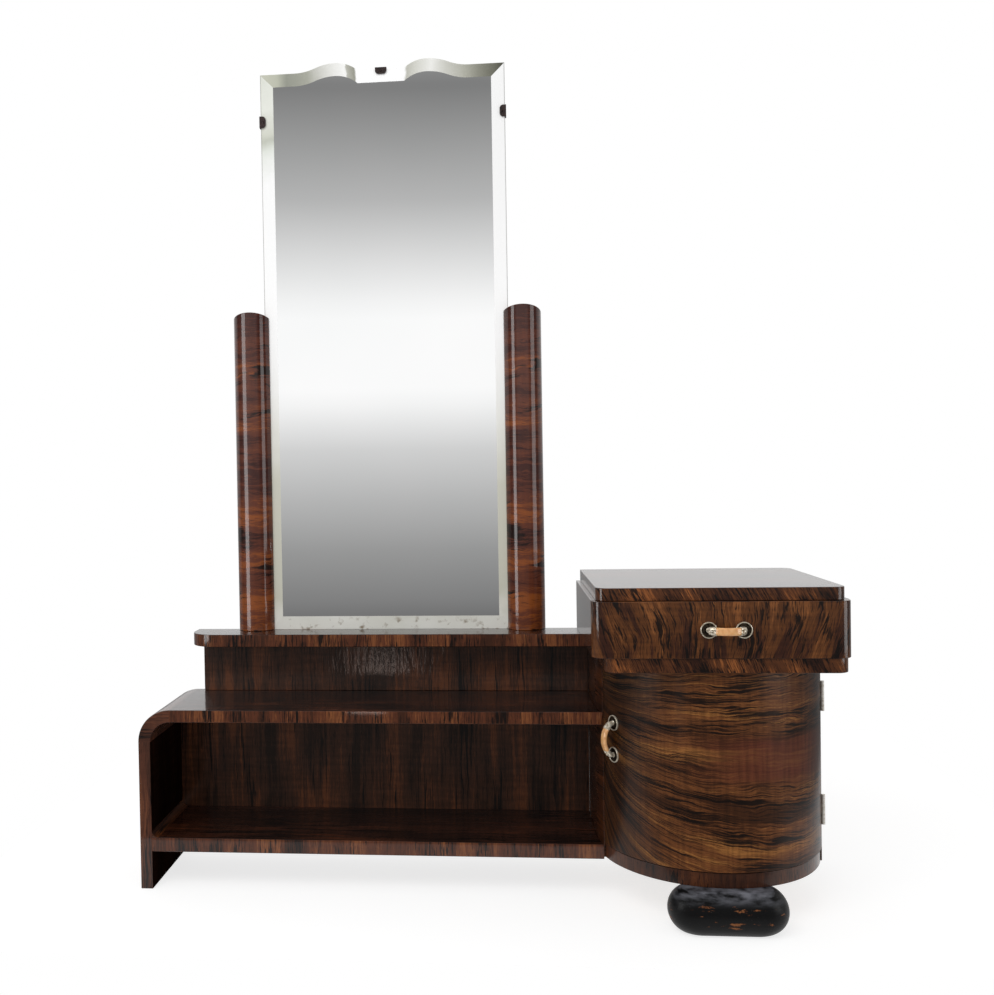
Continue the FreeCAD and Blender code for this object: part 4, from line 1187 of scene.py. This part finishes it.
@dataclass
class ShelfUnit:
    """Low open unit: side panel, rolled corner, top, bottom, back and cove."""

    cabinet: RoundCabinet
    corner_radius: float = 68 * MM
    thick: float = 26 * MM
    scribe: float = 0.2 * MM
    steps: int = 18
    cove_steps: int = 10
    cut_steps: int = 8

    def build(self) -> None:
        """Builds and installs all its pieces. The right ends of top and bottom follow the cabinet's flank."""
        low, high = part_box("left_side_panel")
        top = high.z - HAIR
        add_board("left_side_panel", rectangle(low.xz, high.xz), Look.PANEL, Look.INNER, axis=Axis.BACK,
                  sharp=lambda middle: middle.y > top, cap=across_cap, side=along_side,
                  finish=lambda normal: 1 if normal.x > FACING else 0)
        low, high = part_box("waterfall_corner")
        bottom, right = low.z + HAIR, high.x - HAIR
        centre, inner = (high.x, low.z), self.corner_radius - self.thick
        outline = arc_points(centre, inner, 180, 90, self.steps)
        outline += arc_points(centre, self.corner_radius, 90, 180, self.steps)
        add_board("waterfall_corner", outline[::-1], Look.PANEL, axis=Axis.BACK, side=along_side,
                  sharp=lambda middle: middle.y < bottom or middle.x > right)
        centre, radius = self.cabinet.centre, self.cabinet.radius + self.scribe
        for node in ("lower_top", "bottom_shelf"):
            low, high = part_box(node)
            joint = low.x + HAIR
            start = -180 + math.degrees(math.asin((centre[1] - low.y) / radius))
            outline = [(low.x, low.y)] + arc_points(centre, radius, start, -180, self.cut_steps)
            outline += [(self.cabinet.left - self.scribe, high.y), (low.x, high.y)]
            add_board(node, outline, Look.SHELF, Look.EDGE, finish=rim_second, sharp=lambda middle: middle.x < joint)
        low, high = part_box("niche_back_panel")
        outline = rectangle(low.xz, high.xz)[:3]
        outline += arc_points((low.x + inner, high.z - inner), inner, 90, 180, self.cut_steps)
        add_board("niche_back_panel", outline, Look.BACK, axis=Axis.BACK, cap=across_cap, soft=0.4 * MM)
        low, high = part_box("niche_cove")
        outline = [(low.x, low.z)] + arc_points((high.x, high.z), high.x - low.x, 270, 180, self.cove_steps)
        add_board("niche_cove", outline, Look.BOARD, axis=Axis.BACK, soft=0.2 * MM)


@dataclass
class Step:
    """Raised step: riser panel and the plank with a round end that carries the mirror."""

    corner: float = 58 * MM
    steps: int = 20

    def build(self) -> None:
        """Builds and installs both pieces."""
        low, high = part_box("riser_panel")
        add_board("riser_panel", rectangle(low.xz, high.xz), Look.BACK, axis=Axis.BACK, cap=across_cap,
                  side=along_side)
        outline = plate_outline(*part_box("mirror_plank"), (self.corner, 0, 0, 0), self.steps)
        add_board("mirror_plank", outline, Look.SHELF, Look.EDGE, finish=rim_second)


@dataclass
class Columns:
    """Pair of half round columns with sloped tops and a rebate for the glass."""

    radius: float = 43 * MM
    slope: float = 15 * MM
    rebate_depth: float = 12.3 * MM
    rebate_start: float = 30.2 * MM
    steps: int = 48

    def build(self) -> None:
        """Builds and installs both columns."""
        cut = math.degrees(math.asin(self.rebate_depth / self.radius))
        for node, inward in (("left_column", 1), ("right_column", -1)):
            low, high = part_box(node)
            back = high.y
            centre = low.x + self.radius if inward > 0 else high.x - self.radius
            start, end = (-180, -cut) if inward > 0 else (-180 + cut, 0)
            rebate = [(centre + inward * self.rebate_start, y) for y in (back - self.rebate_depth, back)][::inward]
            add_board(node, arc_points((centre, back), self.radius, start, end, self.steps) + rebate, Look.POST,
                      top=lambda place: high.z - self.slope * (place.y - (back - self.radius)) / self.radius,
                      side=along_side)


@dataclass
class WavyMirror:
    """Tall glass with a wavy top and a wide ground bevel, and its backing board.

    The bevel falls by drop, and arris is the width of the edge between it and the rim. The board is drawn
    in by inset save at the foot, and rise is how far a hump stands above the straight parts.
    shares are the inner end, the crown and the outer end of a hump as shares of the half width. A slope
    whose normal rises by more than upward belongs to the wavy top. Edges that turn by more than ridge
    degrees stay sharp.
    """

    bevel: float = 30 * MM
    drop: float = 2 * MM
    arris: float = 0.4 * MM
    inset: float = 6 * MM
    rise: float = 18.8 * MM
    shares: tuple[float, float, float] = (0.1903, 0.3734, 0.7145)
    outer_steps: int = 12
    inner_steps: int = 10
    upward: float = 0.01
    ridge: float = 1.5

    def __post_init__(self) -> None:
        """Reads the glass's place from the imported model."""
        self.low, self.high = low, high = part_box("mirror_glass")
        self.middle, self.half = (low.x + high.x) / 2, (high.x - low.x) / 2

    def crest(self, x: float) -> float:
        """Rise of the wavy top above its straight parts.

        Args:
            x: Distance from the glass's middle.

        Returns:
            The rise.
        """
        dip, middle, reach = (share * self.half for share in self.shares)
        across, step, fall = abs(x), (reach - middle) / 2, middle - dip
        outer = (step ** 2 + (self.rise / 2) ** 2) / self.rise
        inner = (fall ** 2 + self.rise ** 2) / (self.rise * 2)
        if across >= reach or across <= dip:
            return 0.0
        if across >= middle + step:
            return outer - math.sqrt(outer ** 2 - (across - reach) ** 2)
        bend = outer if across >= middle else inner
        return self.rise - bend + math.sqrt(bend ** 2 - (across - middle) ** 2)

    def outline(self, inset: float) -> list[Point]:
        """Outline seen from the front, anticlockwise from the lower left corner.

        Args:
            inset: How far it is drawn in.

        Returns:
            The outline's points.
        """
        dip, middle, reach = (share * self.half for share in self.shares)
        half, top = self.half - inset, self.high.z - self.rise - inset
        steps = turns(middle, self.outer_steps, reach)[:-1] + turns(dip, self.inner_steps, middle)
        steps += [-x for x in reversed(steps)]
        points = [(-half, self.low.z + inset), (half, self.low.z + inset), (half, top)]
        points += [(x, top + self.crest(x)) for x in steps] + [(-half, top)]
        return [(self.middle + x, z) for x, z in points]

    def build(self) -> None:
        """Builds and installs the glass and its backing board."""
        shape = bmesh.new()
        looks = (Look.MIRROR, Look.BEVEL, Look.CREST, Look.CLIP)
        front = self.low.y
        levels = ((0.0, self.high.y), (0.0, front + self.drop + self.arris), (self.arris, front + self.drop),
                  (self.bevel, front))
        skin_rings(shape, [[shape.verts.new((x, y, z)) for x, z in self.outline(inset)] for inset, y in levels])
        shape.faces.ensure_lookup_table()
        shape.normal_update()
        # The back is lacquered, and the slopes that look up have the crest's finish
        shape.faces[0].material_index = looks.index(Look.CLIP)
        for surface in shape.faces[2:]:
            surface.material_index = looks.index(Look.CREST if surface.normal.z > self.upward else Look.BEVEL)
        piece = link_mesh(dressed("mirror_glass"), shape)
        piece.data.set_sharp_from_angle(angle=math.radians(self.ridge))
        install(piece, CARCASS, "mirror_glass", "mirror_glass", *looks)
        foot = self.low.z + self.inset
        outline = [(x, z - self.inset if z <= foot else z) for x, z in self.outline(self.inset)]
        add_board("mirror_backing_board", outline, Look.BEECH, slot=PLAIN, axis=Axis.BACK, soft=0.5 * MM,
                  cap=across_cap)


@dataclass
class DrawerBox:
    """Drawer box: apron board, sides and top slab. The veneer of the rims leans by lean_apron and lean_slab."""

    corner: float = 25 * MM
    slab_corner: float = 22 * MM
    lean_apron: float = 0.4
    lean_slab: float = 0.55

    def build(self) -> None:
        """Builds and installs its boards."""
        corners = (self.corner, self.corner, 0, 0)
        add_board("apron_board", plate_outline(*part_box("apron_board"), corners), Look.APRON,
                  side=lambda spot: (spot.h, spot.s + self.lean_apron * spot.h))
        corners = (self.slab_corner,) * 3 + (0,)
        add_board("top_slab", plate_outline(*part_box("top_slab"), corners), Look.BOARD, Look.APRON,
                  finish=rim_second, side=lambda spot: (spot.h, spot.s + self.lean_slab * spot.h))
        for node in ("box_left_side", "box_right_side"):
            add_board(node, plate_outline(*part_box(node), (0, 0, 0, 0)), Look.BOARD, side=along_side)


@dataclass
class DrawerFront:
    """Drawer front with round ends, its veneer upright in the middle and fanning out to both ends."""

    corner: float = 25 * MM
    fan: float = 1.7

    def build(self) -> None:
        """Builds and installs the front."""
        low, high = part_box("drawer_front")
        middle = math.pi / 2 * self.corner + (high.x - low.x) / 2 - self.corner

        def fanned(spot: Spot) -> Point:
            """Grain lines that stand upright in the middle and lean outwards more towards the ends."""
            return spot.h, (spot.s - middle) / (1 + self.fan * (spot.h - low.z))

        add_board("drawer_front", plate_outline(low, high, (self.corner, self.corner, 0, 0)), Look.DRAWER,
                  body=DRAWER, side=fanned)


@dataclass
class InnerBoards:
    """Plain boards inside the box, the drawer and the cabinet, and the support at the rear."""

    soft: float = 0.6 * MM
    carcass: tuple[str, ...] = ("drawer_guide_left", "drawer_guide_right", "drawer_stop", "box_back", "box_bottom",
                                "cabinet_back_panel")
    drawer: tuple[str, ...] = ("drawer_left_side", "drawer_right_side", "drawer_back", "drawer_bottom")

    def build(self) -> None:
        """Builds and installs the boards, with their grain along the longer side."""
        boards = [(node, CARCASS, PLAIN, Look.BEECH) for node in self.carcass]
        boards += [(node, DRAWER, PLAIN, Look.BEECH) for node in self.drawer]
        for node, body, slot, look in boards + [("rear_foot", CARCASS, EBONISED, Look.EBONY)]:
            low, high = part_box(node)
            cap = along_cap if high.x - low.x > high.y - low.y else across_cap
            add_board(node, rectangle(low, high), look, body=body, slot=slot, soft=self.soft, side=along_side, cap=cap)
        for node in ("shelf_cleats", "door_stop"):
            dress_node(node, Look.BEECH)


@dataclass
class CushionFoot:
    """Fat black foot under the round front, shaped like a cushion.

    Its flanks are an oval that is cut flat, by the angle flat in degrees, at the floor and at the cabinet.
    wide and deep say how far the ends of the oval are drawn in.
    """

    corner: float = 47 * MM
    wide: float = 28 * MM
    deep: float = 23 * MM
    flat: float = 24.0
    steps: int = 16

    def build(self) -> None:
        """Builds and installs the foot."""
        low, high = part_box("cushion_foot")
        middle, half = (low + high) / 2, (high - low) / 2
        outline = plate_outline(low, high, (self.corner,) * 4, self.steps)
        first = math.radians(self.flat)
        shape = bmesh.new()
        rings = []
        for turn in turns(math.pi - first, self.steps * 2, first):
            level = high.z * (1 - math.cos(turn) / math.cos(first)) / 2
            draw = (1 - math.sin(turn)) / (1 - math.sin(first))
            across, along = 1 - draw * self.wide / half.x, 1 - draw * self.deep / half.y
            rings.append([shape.verts.new((middle.x + (x - middle.x) * across, middle.y + (y - middle.y) * along,
                                           level)) for x, y in outline])
        skin_rings(shape, rings)
        install(link_mesh(dressed("cushion_foot"), shape), CARCASS, "cushion_foot", EBONISED, Look.EBONY)


@dataclass
class BowHandle:
    """Bow handle: dished rosettes, metal ends on posts, a resin grip and domed studs.

    In its own axes its length lies along X and it stands out towards -Y. half is the distance of a
    post from its middle, reach that of the grip's outer face from what it is on, and stud_dome a stud's
    height as a share of its radius.
    """

    shop: NodeShop
    name: str
    body: str
    place: Matrix
    half: float = 32 * MM
    reach: float = 28 * MM
    end_reach: float = 8 * MM
    thick: float = 8 * MM
    grip_width: float = 15 * MM
    grip_half: float = 21 * MM
    end_extra: float = 1 * MM
    end_taper: float = 2.5 * MM
    hollow: float = 1.9 * MM
    hollow_rim: float = 0.9 * MM
    ease: float = 0.6 * MM
    bow_steps: int = 24
    rosette_radius: float = 15.5 * MM
    rosette_thick: float = 3 * MM
    rosette_dish: float = 1.2 * MM
    rim: float = 2.2 * MM
    soft: float = 0.5 * MM
    post_radius: float = 4 * MM
    collar: float = 1.2 * MM
    collar_height: float = 0.8 * MM
    stud_radius: float = 2.8 * MM
    stud_dome: float = 0.8
    round_steps: int = 10
    groove_steps: int = 8
    turned_steps: int = 32

    def __post_init__(self) -> None:
        """Works out the bow's radius and angles."""
        rise = self.reach - self.thick / 2 - self.end_reach
        self.radius = (self.half ** 2 + rise ** 2) / (rise * 2)
        self.axis_y = -(self.reach - self.thick / 2 - self.radius)
        self.grip_angle = math.asin(self.grip_half / self.radius)
        self.end_angle = math.asin(self.half / self.radius)

    def bar(self, shape: Shape, start: float, end: float, width: Callable[[float], float], hollow: float = 0.0) -> None:
        """Adds a piece of the bow with half round edges.

        Args:
            shape: Mesh that gets it.
            start: First angle from the middle.
            end: Last angle.
            width: Its width at a share of the way from start to end.
            hollow: Depth of the groove along its outer face.
        """
        rings = []
        for share in turns(1.0, self.bow_steps):
            angle = start + (end - start) * share
            # The two ends are eased by drawing the last rings in a little
            edge = min(share, 1 - share) * abs(end - start) * self.radius
            draw = self.ease - math.sqrt(max(0.0, self.ease ** 2 - (self.ease - min(edge, self.ease)) ** 2))
            section = self._section(width(share) / 2 - draw, self.thick / 2 - draw, hollow)
            rings.append([shape.verts.new(self.place @ Vector((
                (self.radius + out) * math.sin(angle), self.axis_y - (self.radius + out) * math.cos(angle), up)))
                for up, out in section])
        skin_rings(shape, rings)

    def _section(self, half: float, thick: float, hollow: float) -> list[Point]:
        """Cross section of the bow, all round.

        Args:
            half: Half its width.
            thick: Half its thickness.
            hollow: Depth of the groove along its outer face.

        Returns:
            The points' places across and outwards from its middle line.
        """
        flat = half - thick
        inner = max(flat - self.hollow_rim, 0.0) if hollow else flat
        edges = [(flat, thick)] if hollow else []
        points = edges + [(up, thick - hollow * math.sqrt(max(0.0, 1 - (up / inner) ** 2)))
                          for up in turns(-inner, self.groove_steps, inner)]
        points += [(-up, out) for up, out in edges]
        round_end = [(flat + thick * math.sin(t), thick * math.cos(t)) for t in turns(math.pi, self.round_steps)]
        points += [(-up, out) for up, out in round_end[1:]]
        return points + [(up, -out) for up, out in round_end[:-1]]

    def build(self) -> None:
        """Builds and installs the four parts."""
        outwards = Matrix.Rotation(math.pi / 2, 4, "X")
        rosettes, ends, grip = (bmesh.new() for _ in range(3))
        studs = []
        floor, dish, bead = self.rosette_thick - self.rosette_dish, self.rosette_radius - self.rim, self.rim / 2
        crown = self.rosette_thick - bead
        profile = [(0, 0), (self.rosette_radius, 0), (self.rosette_radius, crown)]
        profile += [(self.rosette_radius - bead + bead * math.cos(t), crown + bead * math.sin(t))
                    for t in turns(math.pi, self.round_steps)[1:-1]]
        profile += [(dish, crown), (dish - self.rosette_dish, floor + HAIR),
                    (dish - self.rosette_dish - self.soft, floor), (0, floor)]
        neck, top = self.post_radius + self.collar, floor + self.collar_height
        post = [(0, floor), (neck, floor), (neck, top), (self.post_radius, top + self.collar_height),
                (self.post_radius, self.end_reach), (0, self.end_reach)]
        middle_angle, out = (self.grip_angle + self.end_angle) / 2, self.radius + self.thick / 2
        wide = self.grip_width + self.end_extra * 2
        for side in (-1, 1):
            spot = self.place @ Matrix.Translation((side * self.half, 0, 0)) @ outwards
            Turned(profile).add_to(rosettes, spot)
            Turned(post, self.turned_steps).add_to(ends, spot)
            self.bar(ends, side * self.grip_angle, side * self.end_angle,
                     lambda share: wide - self.end_taper * share ** 2, self.hollow)
            lean = self.place @ Matrix.Translation((
                side * out * math.sin(middle_angle), self.axis_y - out * math.cos(middle_angle), 0))
            lean = lean @ Matrix.Rotation(side * middle_angle, 4, "Z") @ outwards
            studs.append((lean @ Vector((0, 0, -self.hollow)), lean.to_3x3() @ Vector((0, 0, 1))))
            for surface in rosettes.faces:
                middle = spot.inverted() @ surface.calc_center_median()
                if math.hypot(middle.x, middle.y) < dish - 3 * HAIR and middle.z > floor - self.soft:
                    surface.material_index = 1
        self.bar(grip, -self.grip_angle, self.grip_angle, lambda share: self.grip_width)
        for label, shape, slot, looks in (("rosettes", rosettes, NICKEL, (Look.NICKEL, Look.DISH)),
                                          ("ends", ends, NICKEL, (Look.NICKEL,)),
                                          ("grip", grip, "tan_grip", (Look.RESIN,))):
            bmesh.ops.recalc_face_normals(shape, faces=shape.faces)
            node = f"{self.name}_{label}"
            install(link_mesh(dressed(node), shape), self.body, node, slot, *looks)
        node = f"{self.name}_studs"
        height = self.stud_radius * self.stud_dome
        dome = [(0, 0), (self.stud_radius, 0)]
        dome += [(self.stud_radius * math.cos(t), self.hollow + height * math.sin(t))
                 for t in turns(math.pi / 2, self.groove_steps)[:-1]] + [(0, self.hollow + height)]
        stud = Turned(dome, self.turned_steps).template("stud")
        install(self.shop.set_hardware(dressed(node), stud, studs, Look.NICKEL), self.body, node, NICKEL)


@dataclass
class HandlePlaces:
    """Where the two handles stand: the drawer's a little right of its middle, the door's upright near its left edge."""

    shift: float = 8 * MM
    angle: float = -61.0
    height: float = 0.338

    def on_drawer(self) -> Matrix:
        """Place of the drawer's handle."""
        low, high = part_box("drawer_front")
        return Matrix.Translation(((low.x + high.x) / 2 + self.shift, low.y, (low.z + high.z) / 2))

    def on_door(self, cabinet: RoundCabinet) -> Matrix:
        """Place of the door's handle."""
        spot = Matrix.Translation((*cabinet.place(cabinet.radius, self.angle), self.height))
        return spot @ Matrix.Rotation(math.radians(self.angle), 4, "Z") @ Matrix.Rotation(math.pi / 2, 4, "Y")


@dataclass
class Fittings:
    """Hinges and clips, which keep their solids, and the screws that hold them."""

    shop: NodeShop
    head: float = 2.2 * MM
    head_height: float = 0.3 * MM
    sunk: float = 0.2 * MM
    slot: float = 0.5 * MM
    spacing: float = 19 * MM
    clip_head: float = 2.6 * MM
    clip_slot: float = 0.8 * MM
    rim: float = 0.3
    steps: int = 8
    head_steps: int = 24
    clip_steps: int = 32

    def build(self) -> None:
        """Gives the nodes their finishes and sets the screws."""
        leaves = [f"{level}_hinge_{own}_leaf" for level in ("upper", "lower") for own in ("side", "door")]
        for node in leaves + ["hinge_pins"]:
            dress_node(node, Look.HINGE)
        dress_node("mirror_clips", Look.CLIP)
        low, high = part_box("clip_screws")
        middle = sum(corner.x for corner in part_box("mirror_glass")) / 2
        inset = self.clip_head
        spots = [(Vector((x, high.y, z)), Vector((0, -1, 0))) for x, z in (
            (low.x + inset, low.z + inset), (high.x - inset, low.z + inset), (middle, high.z - inset))]
        profile = self._head(self.clip_head, high.y - low.y)
        screw = Turned(profile, self.clip_steps).template("clip_screw", self.clip_slot)
        piece = self.shop.set_hardware(dressed("clip_screws"), screw, spots, Look.CLIP, math.pi)
        install(piece, CARCASS, "clip_screws", "dark_clip")
        profile = self._head(self.head, self.head_height)
        screw = Turned(profile, self.head_steps).template("hinge_screw", self.slot)
        for body, own, other in ((CARCASS, "side", "door"), (DOOR, "door", "side")):
            spots = []
            for level in ("upper", "lower"):
                place, facing = self._leaf(f"{level}_hinge_{own}_leaf", f"{level}_hinge_{other}_leaf")
                spots += [(place + Vector((0, 0, step * self.spacing)) - facing * self.sunk, facing)
                          for step in (-1, 0, 1)]
            piece = self.shop.set_hardware(f"hinge_screws_{own}", screw, spots, Look.HINGE, math.pi)
            install(piece, body, None, NICKEL)

    def _head(self, radius: float, height: float) -> list[Point]:
        """Profile of a screw's oval head.

        Args:
            radius: Its radius.
            height: Its height, of which its rim has the share rim.

        Returns:
            The profile.
        """
        oval = [(radius * math.cos(t), height * (self.rim + (1 - self.rim) * math.sin(t)))
                for t in turns(math.pi / 2, self.steps)[:-1]]
        return [(0, 0), (radius, 0)] + oval + [(0, height)]

    @staticmethod
    def _leaf(node: str, other: str) -> tuple[Vector, Vector]:
        """Finds the free face of a hinge leaf.

        Args:
            node: The leaf.
            other: The leaf that it closes on.

        Returns:
            The middle of the face and the way it faces.
        """
        towards = sum(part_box(other), Vector()) / 2 - sum(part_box(node), Vector()) / 2
        faces = [f for f in frame["nodes"][node].data.polygons
                 if f.normal.dot(towards) > 0 and abs(f.normal.z) < UPRIGHT]
        widest = max(faces, key=lambda f: sum(g.area for g in faces if g.normal.dot(f.normal) > PARALLEL))
        same = [f for f in faces if f.normal.dot(widest.normal) > PARALLEL]
        area = sum(f.area for f in same)
        return sum((f.center * f.area for f in same), Vector()) / area, widest.normal.copy()


# -------------------------------------------------------------------------------------- studio


class Softbox(NamedTuple):
    """A soft lamp: where it stands, what it aims at, its size, strength and colour."""

    name: str
    place: tuple[float, float, float]
    aim: tuple[float, float, float]
    width: float
    height: float
    level: float
    tint: str = "#ffffff"


ABOVE = Softbox("softbox_above", (-0.9, -2.2, 3.0), (0.1, 0.0, 0.6), 2.4, 1.6, 3.2)
SOFTBOXES = (
    ABOVE,
    Softbox("softbox_left", (-1.79, -1.0, 0.95), (-0.2, 0.17, 0.95), 0.75, 1.4, 7.0),
    Softbox("softbox_right", (2.9, -1.25, 0.95), (-0.2, 0.17, 0.95), 1.4, 1.7, 4.0),
    Softbox("softbox_low", (-0.374, -1.25, 0.16), (-0.2, 0.2, 0.42), 0.11, 0.10, 7.0, "#ffe4d8"))
# Tones of the surroundings over the sine of the elevation, from -0.5 to 0.5
FRONT_TONES = (
    (0.0, "#545454"), (0.345, "#606060"), (0.365, "#727272"), (0.3825, "#828282"), (0.4285, "#9a9a9a"),
    (0.476, "#b8b8b8"), (0.5236, "#d4d4d4"), (0.565, "#f8f8f8"), (0.58, "#ffffff"), (0.645, "#ffffff"),
    (0.6616, "#f8f8f8"), (0.749, "#b9b9b9"), (0.842, "#808080"), (0.88, "#a0a0a0"), (1.0, "#c8c8c8"))
REAR_TONES = ((0.0, "#505050"), (0.36, "#909090"), (0.44, "#969696"), (0.52, "#dedede"), (0.7, "#ffffff"))


@dataclass
class Studio:
    """White floor and surroundings, soft lamps, and the camera at the photograph's angle.

    aside and behind are the sines of the angle to the side and to the rear over which the surroundings
    darken and go over to those of the rear.
    """

    focal: float = 1060.0
    frame_width: float = 994.0
    frame_height: float = 995.0
    centre: Point = (398.262, 494.052)
    camera_place: tuple[float, float, float] = (0.0638, -2.1954, 0.8740)
    yaw: float = -0.0946856
    pitch: float = -0.0183597
    roll: float = -0.0171513
    sensor: float = 36.0
    floor: tuple[Point, Point] = ((-1.1, -0.32), (1.3, 1.4))
    glow: float = 0.74
    aside: Point = (0.45, 0.75)
    behind: Point = (0.0, 0.25)

    def build(self) -> None:
        """Builds the floor, the world, the lamps and the camera."""
        self._floor()
        self._world()
        self._lamps()
        self._camera()
        bpy.context.scene.view_settings.view_transform = "Standard"

    def _floor(self) -> None:
        """Pale floor that stays white in the picture and keeps a soft shadow."""
        mesh = bpy.data.meshes.new("studio_floor")
        mesh.from_pydata([(x, y, 0) for x, y in rectangle(*self.floor)], [], [(0, 1, 2, 3)])
        floor = bpy.data.objects.new("studio_floor", mesh)
        bpy.context.scene.collection.objects.link(floor)
        material, add = new_material("painted_studio_floor")
        plain, faint = [add("BsdfDiffuse", {"Color": linear(colour)}) for colour in ("#f2f2f2", "#b0b0b0")]
        glow = add("Emission", {"Color": linear("#ffffff"), "Strength": self.glow})
        path = add("LightPath").node.outputs
        seen = add("Math", {0: path["Is Camera Ray"], 1: path["Is Glossy Ray"]}, operation="MAXIMUM")
        seen = add("Math", {0: seen, 1: path["Is Transmission Ray"]}, operation="MAXIMUM")
        surface = add("MixShader", {0: seen, 1: plain, 2: add("AddShader", {0: faint, 1: glow})})
        add("OutputMaterial", {"Surface": surface})
        mesh.materials.append(material)

    def _world(self) -> None:
        """White surroundings, with a studio gradient in front that polished surfaces reflect."""
        world = bpy.data.worlds.new("studio")
        bpy.context.scene.world = world
        world.use_nodes = True
        world.node_tree.nodes.clear()
        add = partial(add_node, world.node_tree)
        path = add("LightPath").node.outputs
        x, y, z = add("SeparateXYZ", {"Vector": add("TexCoord", out="Generated")}).node.outputs
        level = add("MapRange", {"Value": z, "From Min": -0.5, "From Max": 0.5})
        front, rear = [add("ValToRGB", {"Fac": level}, stops=tones) for tones in (FRONT_TONES, REAR_TONES)]
        aside = add("Math", {0: x}, operation="ABSOLUTE")
        aside, behind = [add("MapRange", {"Value": value, "From Min": low, "From Max": high},
                             interpolation_type="SMOOTHSTEP")
                         for value, (low, high) in ((aside, self.aside), (y, self.behind))]
        # The room is darker to both sides of the front, save in the clear mirror
        aside = add("Math", {0: aside, 1: path["Is Singular Ray"]}, operation="SUBTRACT")
        polished = add("Math", {0: path["Is Glossy Ray"], 1: path["Is Transmission Ray"]}, operation="MAXIMUM")
        shiny = front
        for share, colour in ((aside, linear("#2a2826")), (behind, rear)):
            shiny = add("Mix", {0: share, 6: shiny, 7: colour}, 2, data_type="RGBA")
        seen = linear("#c4c4c4")
        for share, colour in ((polished, shiny), (path["Is Camera Ray"], linear("#ffffff"))):
            seen = add("Mix", {0: share, 6: seen, 7: colour}, 2, data_type="RGBA")
        add("OutputWorld", {"Surface": add("Background", {"Color": seen, "Strength": 1.0})})

    @staticmethod
    def _lamps() -> None:
        """A large soft lamp from above in front, and three that only polished wood and metal show."""
        glass = bpy.data.collections.new("mirror_without_lamps")
        glass.objects.link(bpy.data.objects[dressed("mirror_glass")])
        glass.collection_objects[0].light_linking.link_state = "EXCLUDE"
        for box in SOFTBOXES:
            lamp = bpy.data.lights.new(box.name, "AREA")
            lamp.shape, lamp.size, lamp.size_y = "RECTANGLE", box.width, box.height
            lamp.energy = box.level * math.pi * box.width * box.height
            lamp.color = linear(box.tint)[:3]
            holder = bpy.data.objects.new(box.name, lamp)
            bpy.context.scene.collection.objects.link(holder)
            holder.location = box.place
            holder.rotation_euler = (Vector(box.aim) - Vector(box.place)).to_track_quat("-Z", "Y").to_euler()
            holder.visible_camera = False
            holder.visible_glossy, holder.visible_diffuse = box is not ABOVE, box is ABOVE
            if holder.visible_glossy:
                holder.light_linking.receiver_collection = glass

    def _camera(self) -> None:
        """Camera that was fitted to the photograph's corners."""
        data = bpy.data.cameras.new("photo_camera")
        data.sensor_fit, data.sensor_width = "AUTO", self.sensor
        data.lens = self.focal / self.frame_height * self.sensor
        data.shift_x = (self.frame_width / 2 - self.centre[0]) / self.frame_height
        data.shift_y = (self.centre[1] - self.frame_height / 2) / self.frame_height
        camera = bpy.data.objects.new("photo_camera", data)
        bpy.context.scene.collection.objects.link(camera)
        ahead = Vector((math.sin(self.yaw), math.cos(self.yaw), 0))
        right = Vector((math.cos(self.yaw), -math.sin(self.yaw), 0))
        forward = ahead * math.cos(self.pitch) + Vector((0, 0, math.sin(self.pitch)))
        upward = Vector((0, 0, math.cos(self.pitch))) - ahead * math.sin(self.pitch)
        c, s = math.cos(self.roll), math.sin(self.roll)
        turn = Matrix((right * c + upward * s, upward * c - right * s, -forward)).transposed().to_4x4()
        camera.matrix_world = Matrix.Translation(self.camera_place) @ turn
        bpy.context.scene.camera = camera


def main() -> None:
    """Builds the sub-assemblies in order."""
    logging.basicConfig(level=logging.INFO, format="%(message)s")
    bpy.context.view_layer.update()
    shop = NodeShop()
    cabinet = RoundCabinet(shop)
    places = HandlePlaces()
    for assembly in (cabinet, ShelfUnit(cabinet), Step(), Columns(), WavyMirror(), DrawerBox(), DrawerFront(),
                     InnerBoards(), CushionFoot(), BowHandle(shop, "drawer_handle", DRAWER, places.on_drawer()),
                     BowHandle(shop, "door_handle", DOOR, places.on_door(cabinet)), Fittings(shop), Studio()):
        LOG.info("building %s", type(assembly).__name__)
        assembly.build()


if __name__ == "__main__":
    main()
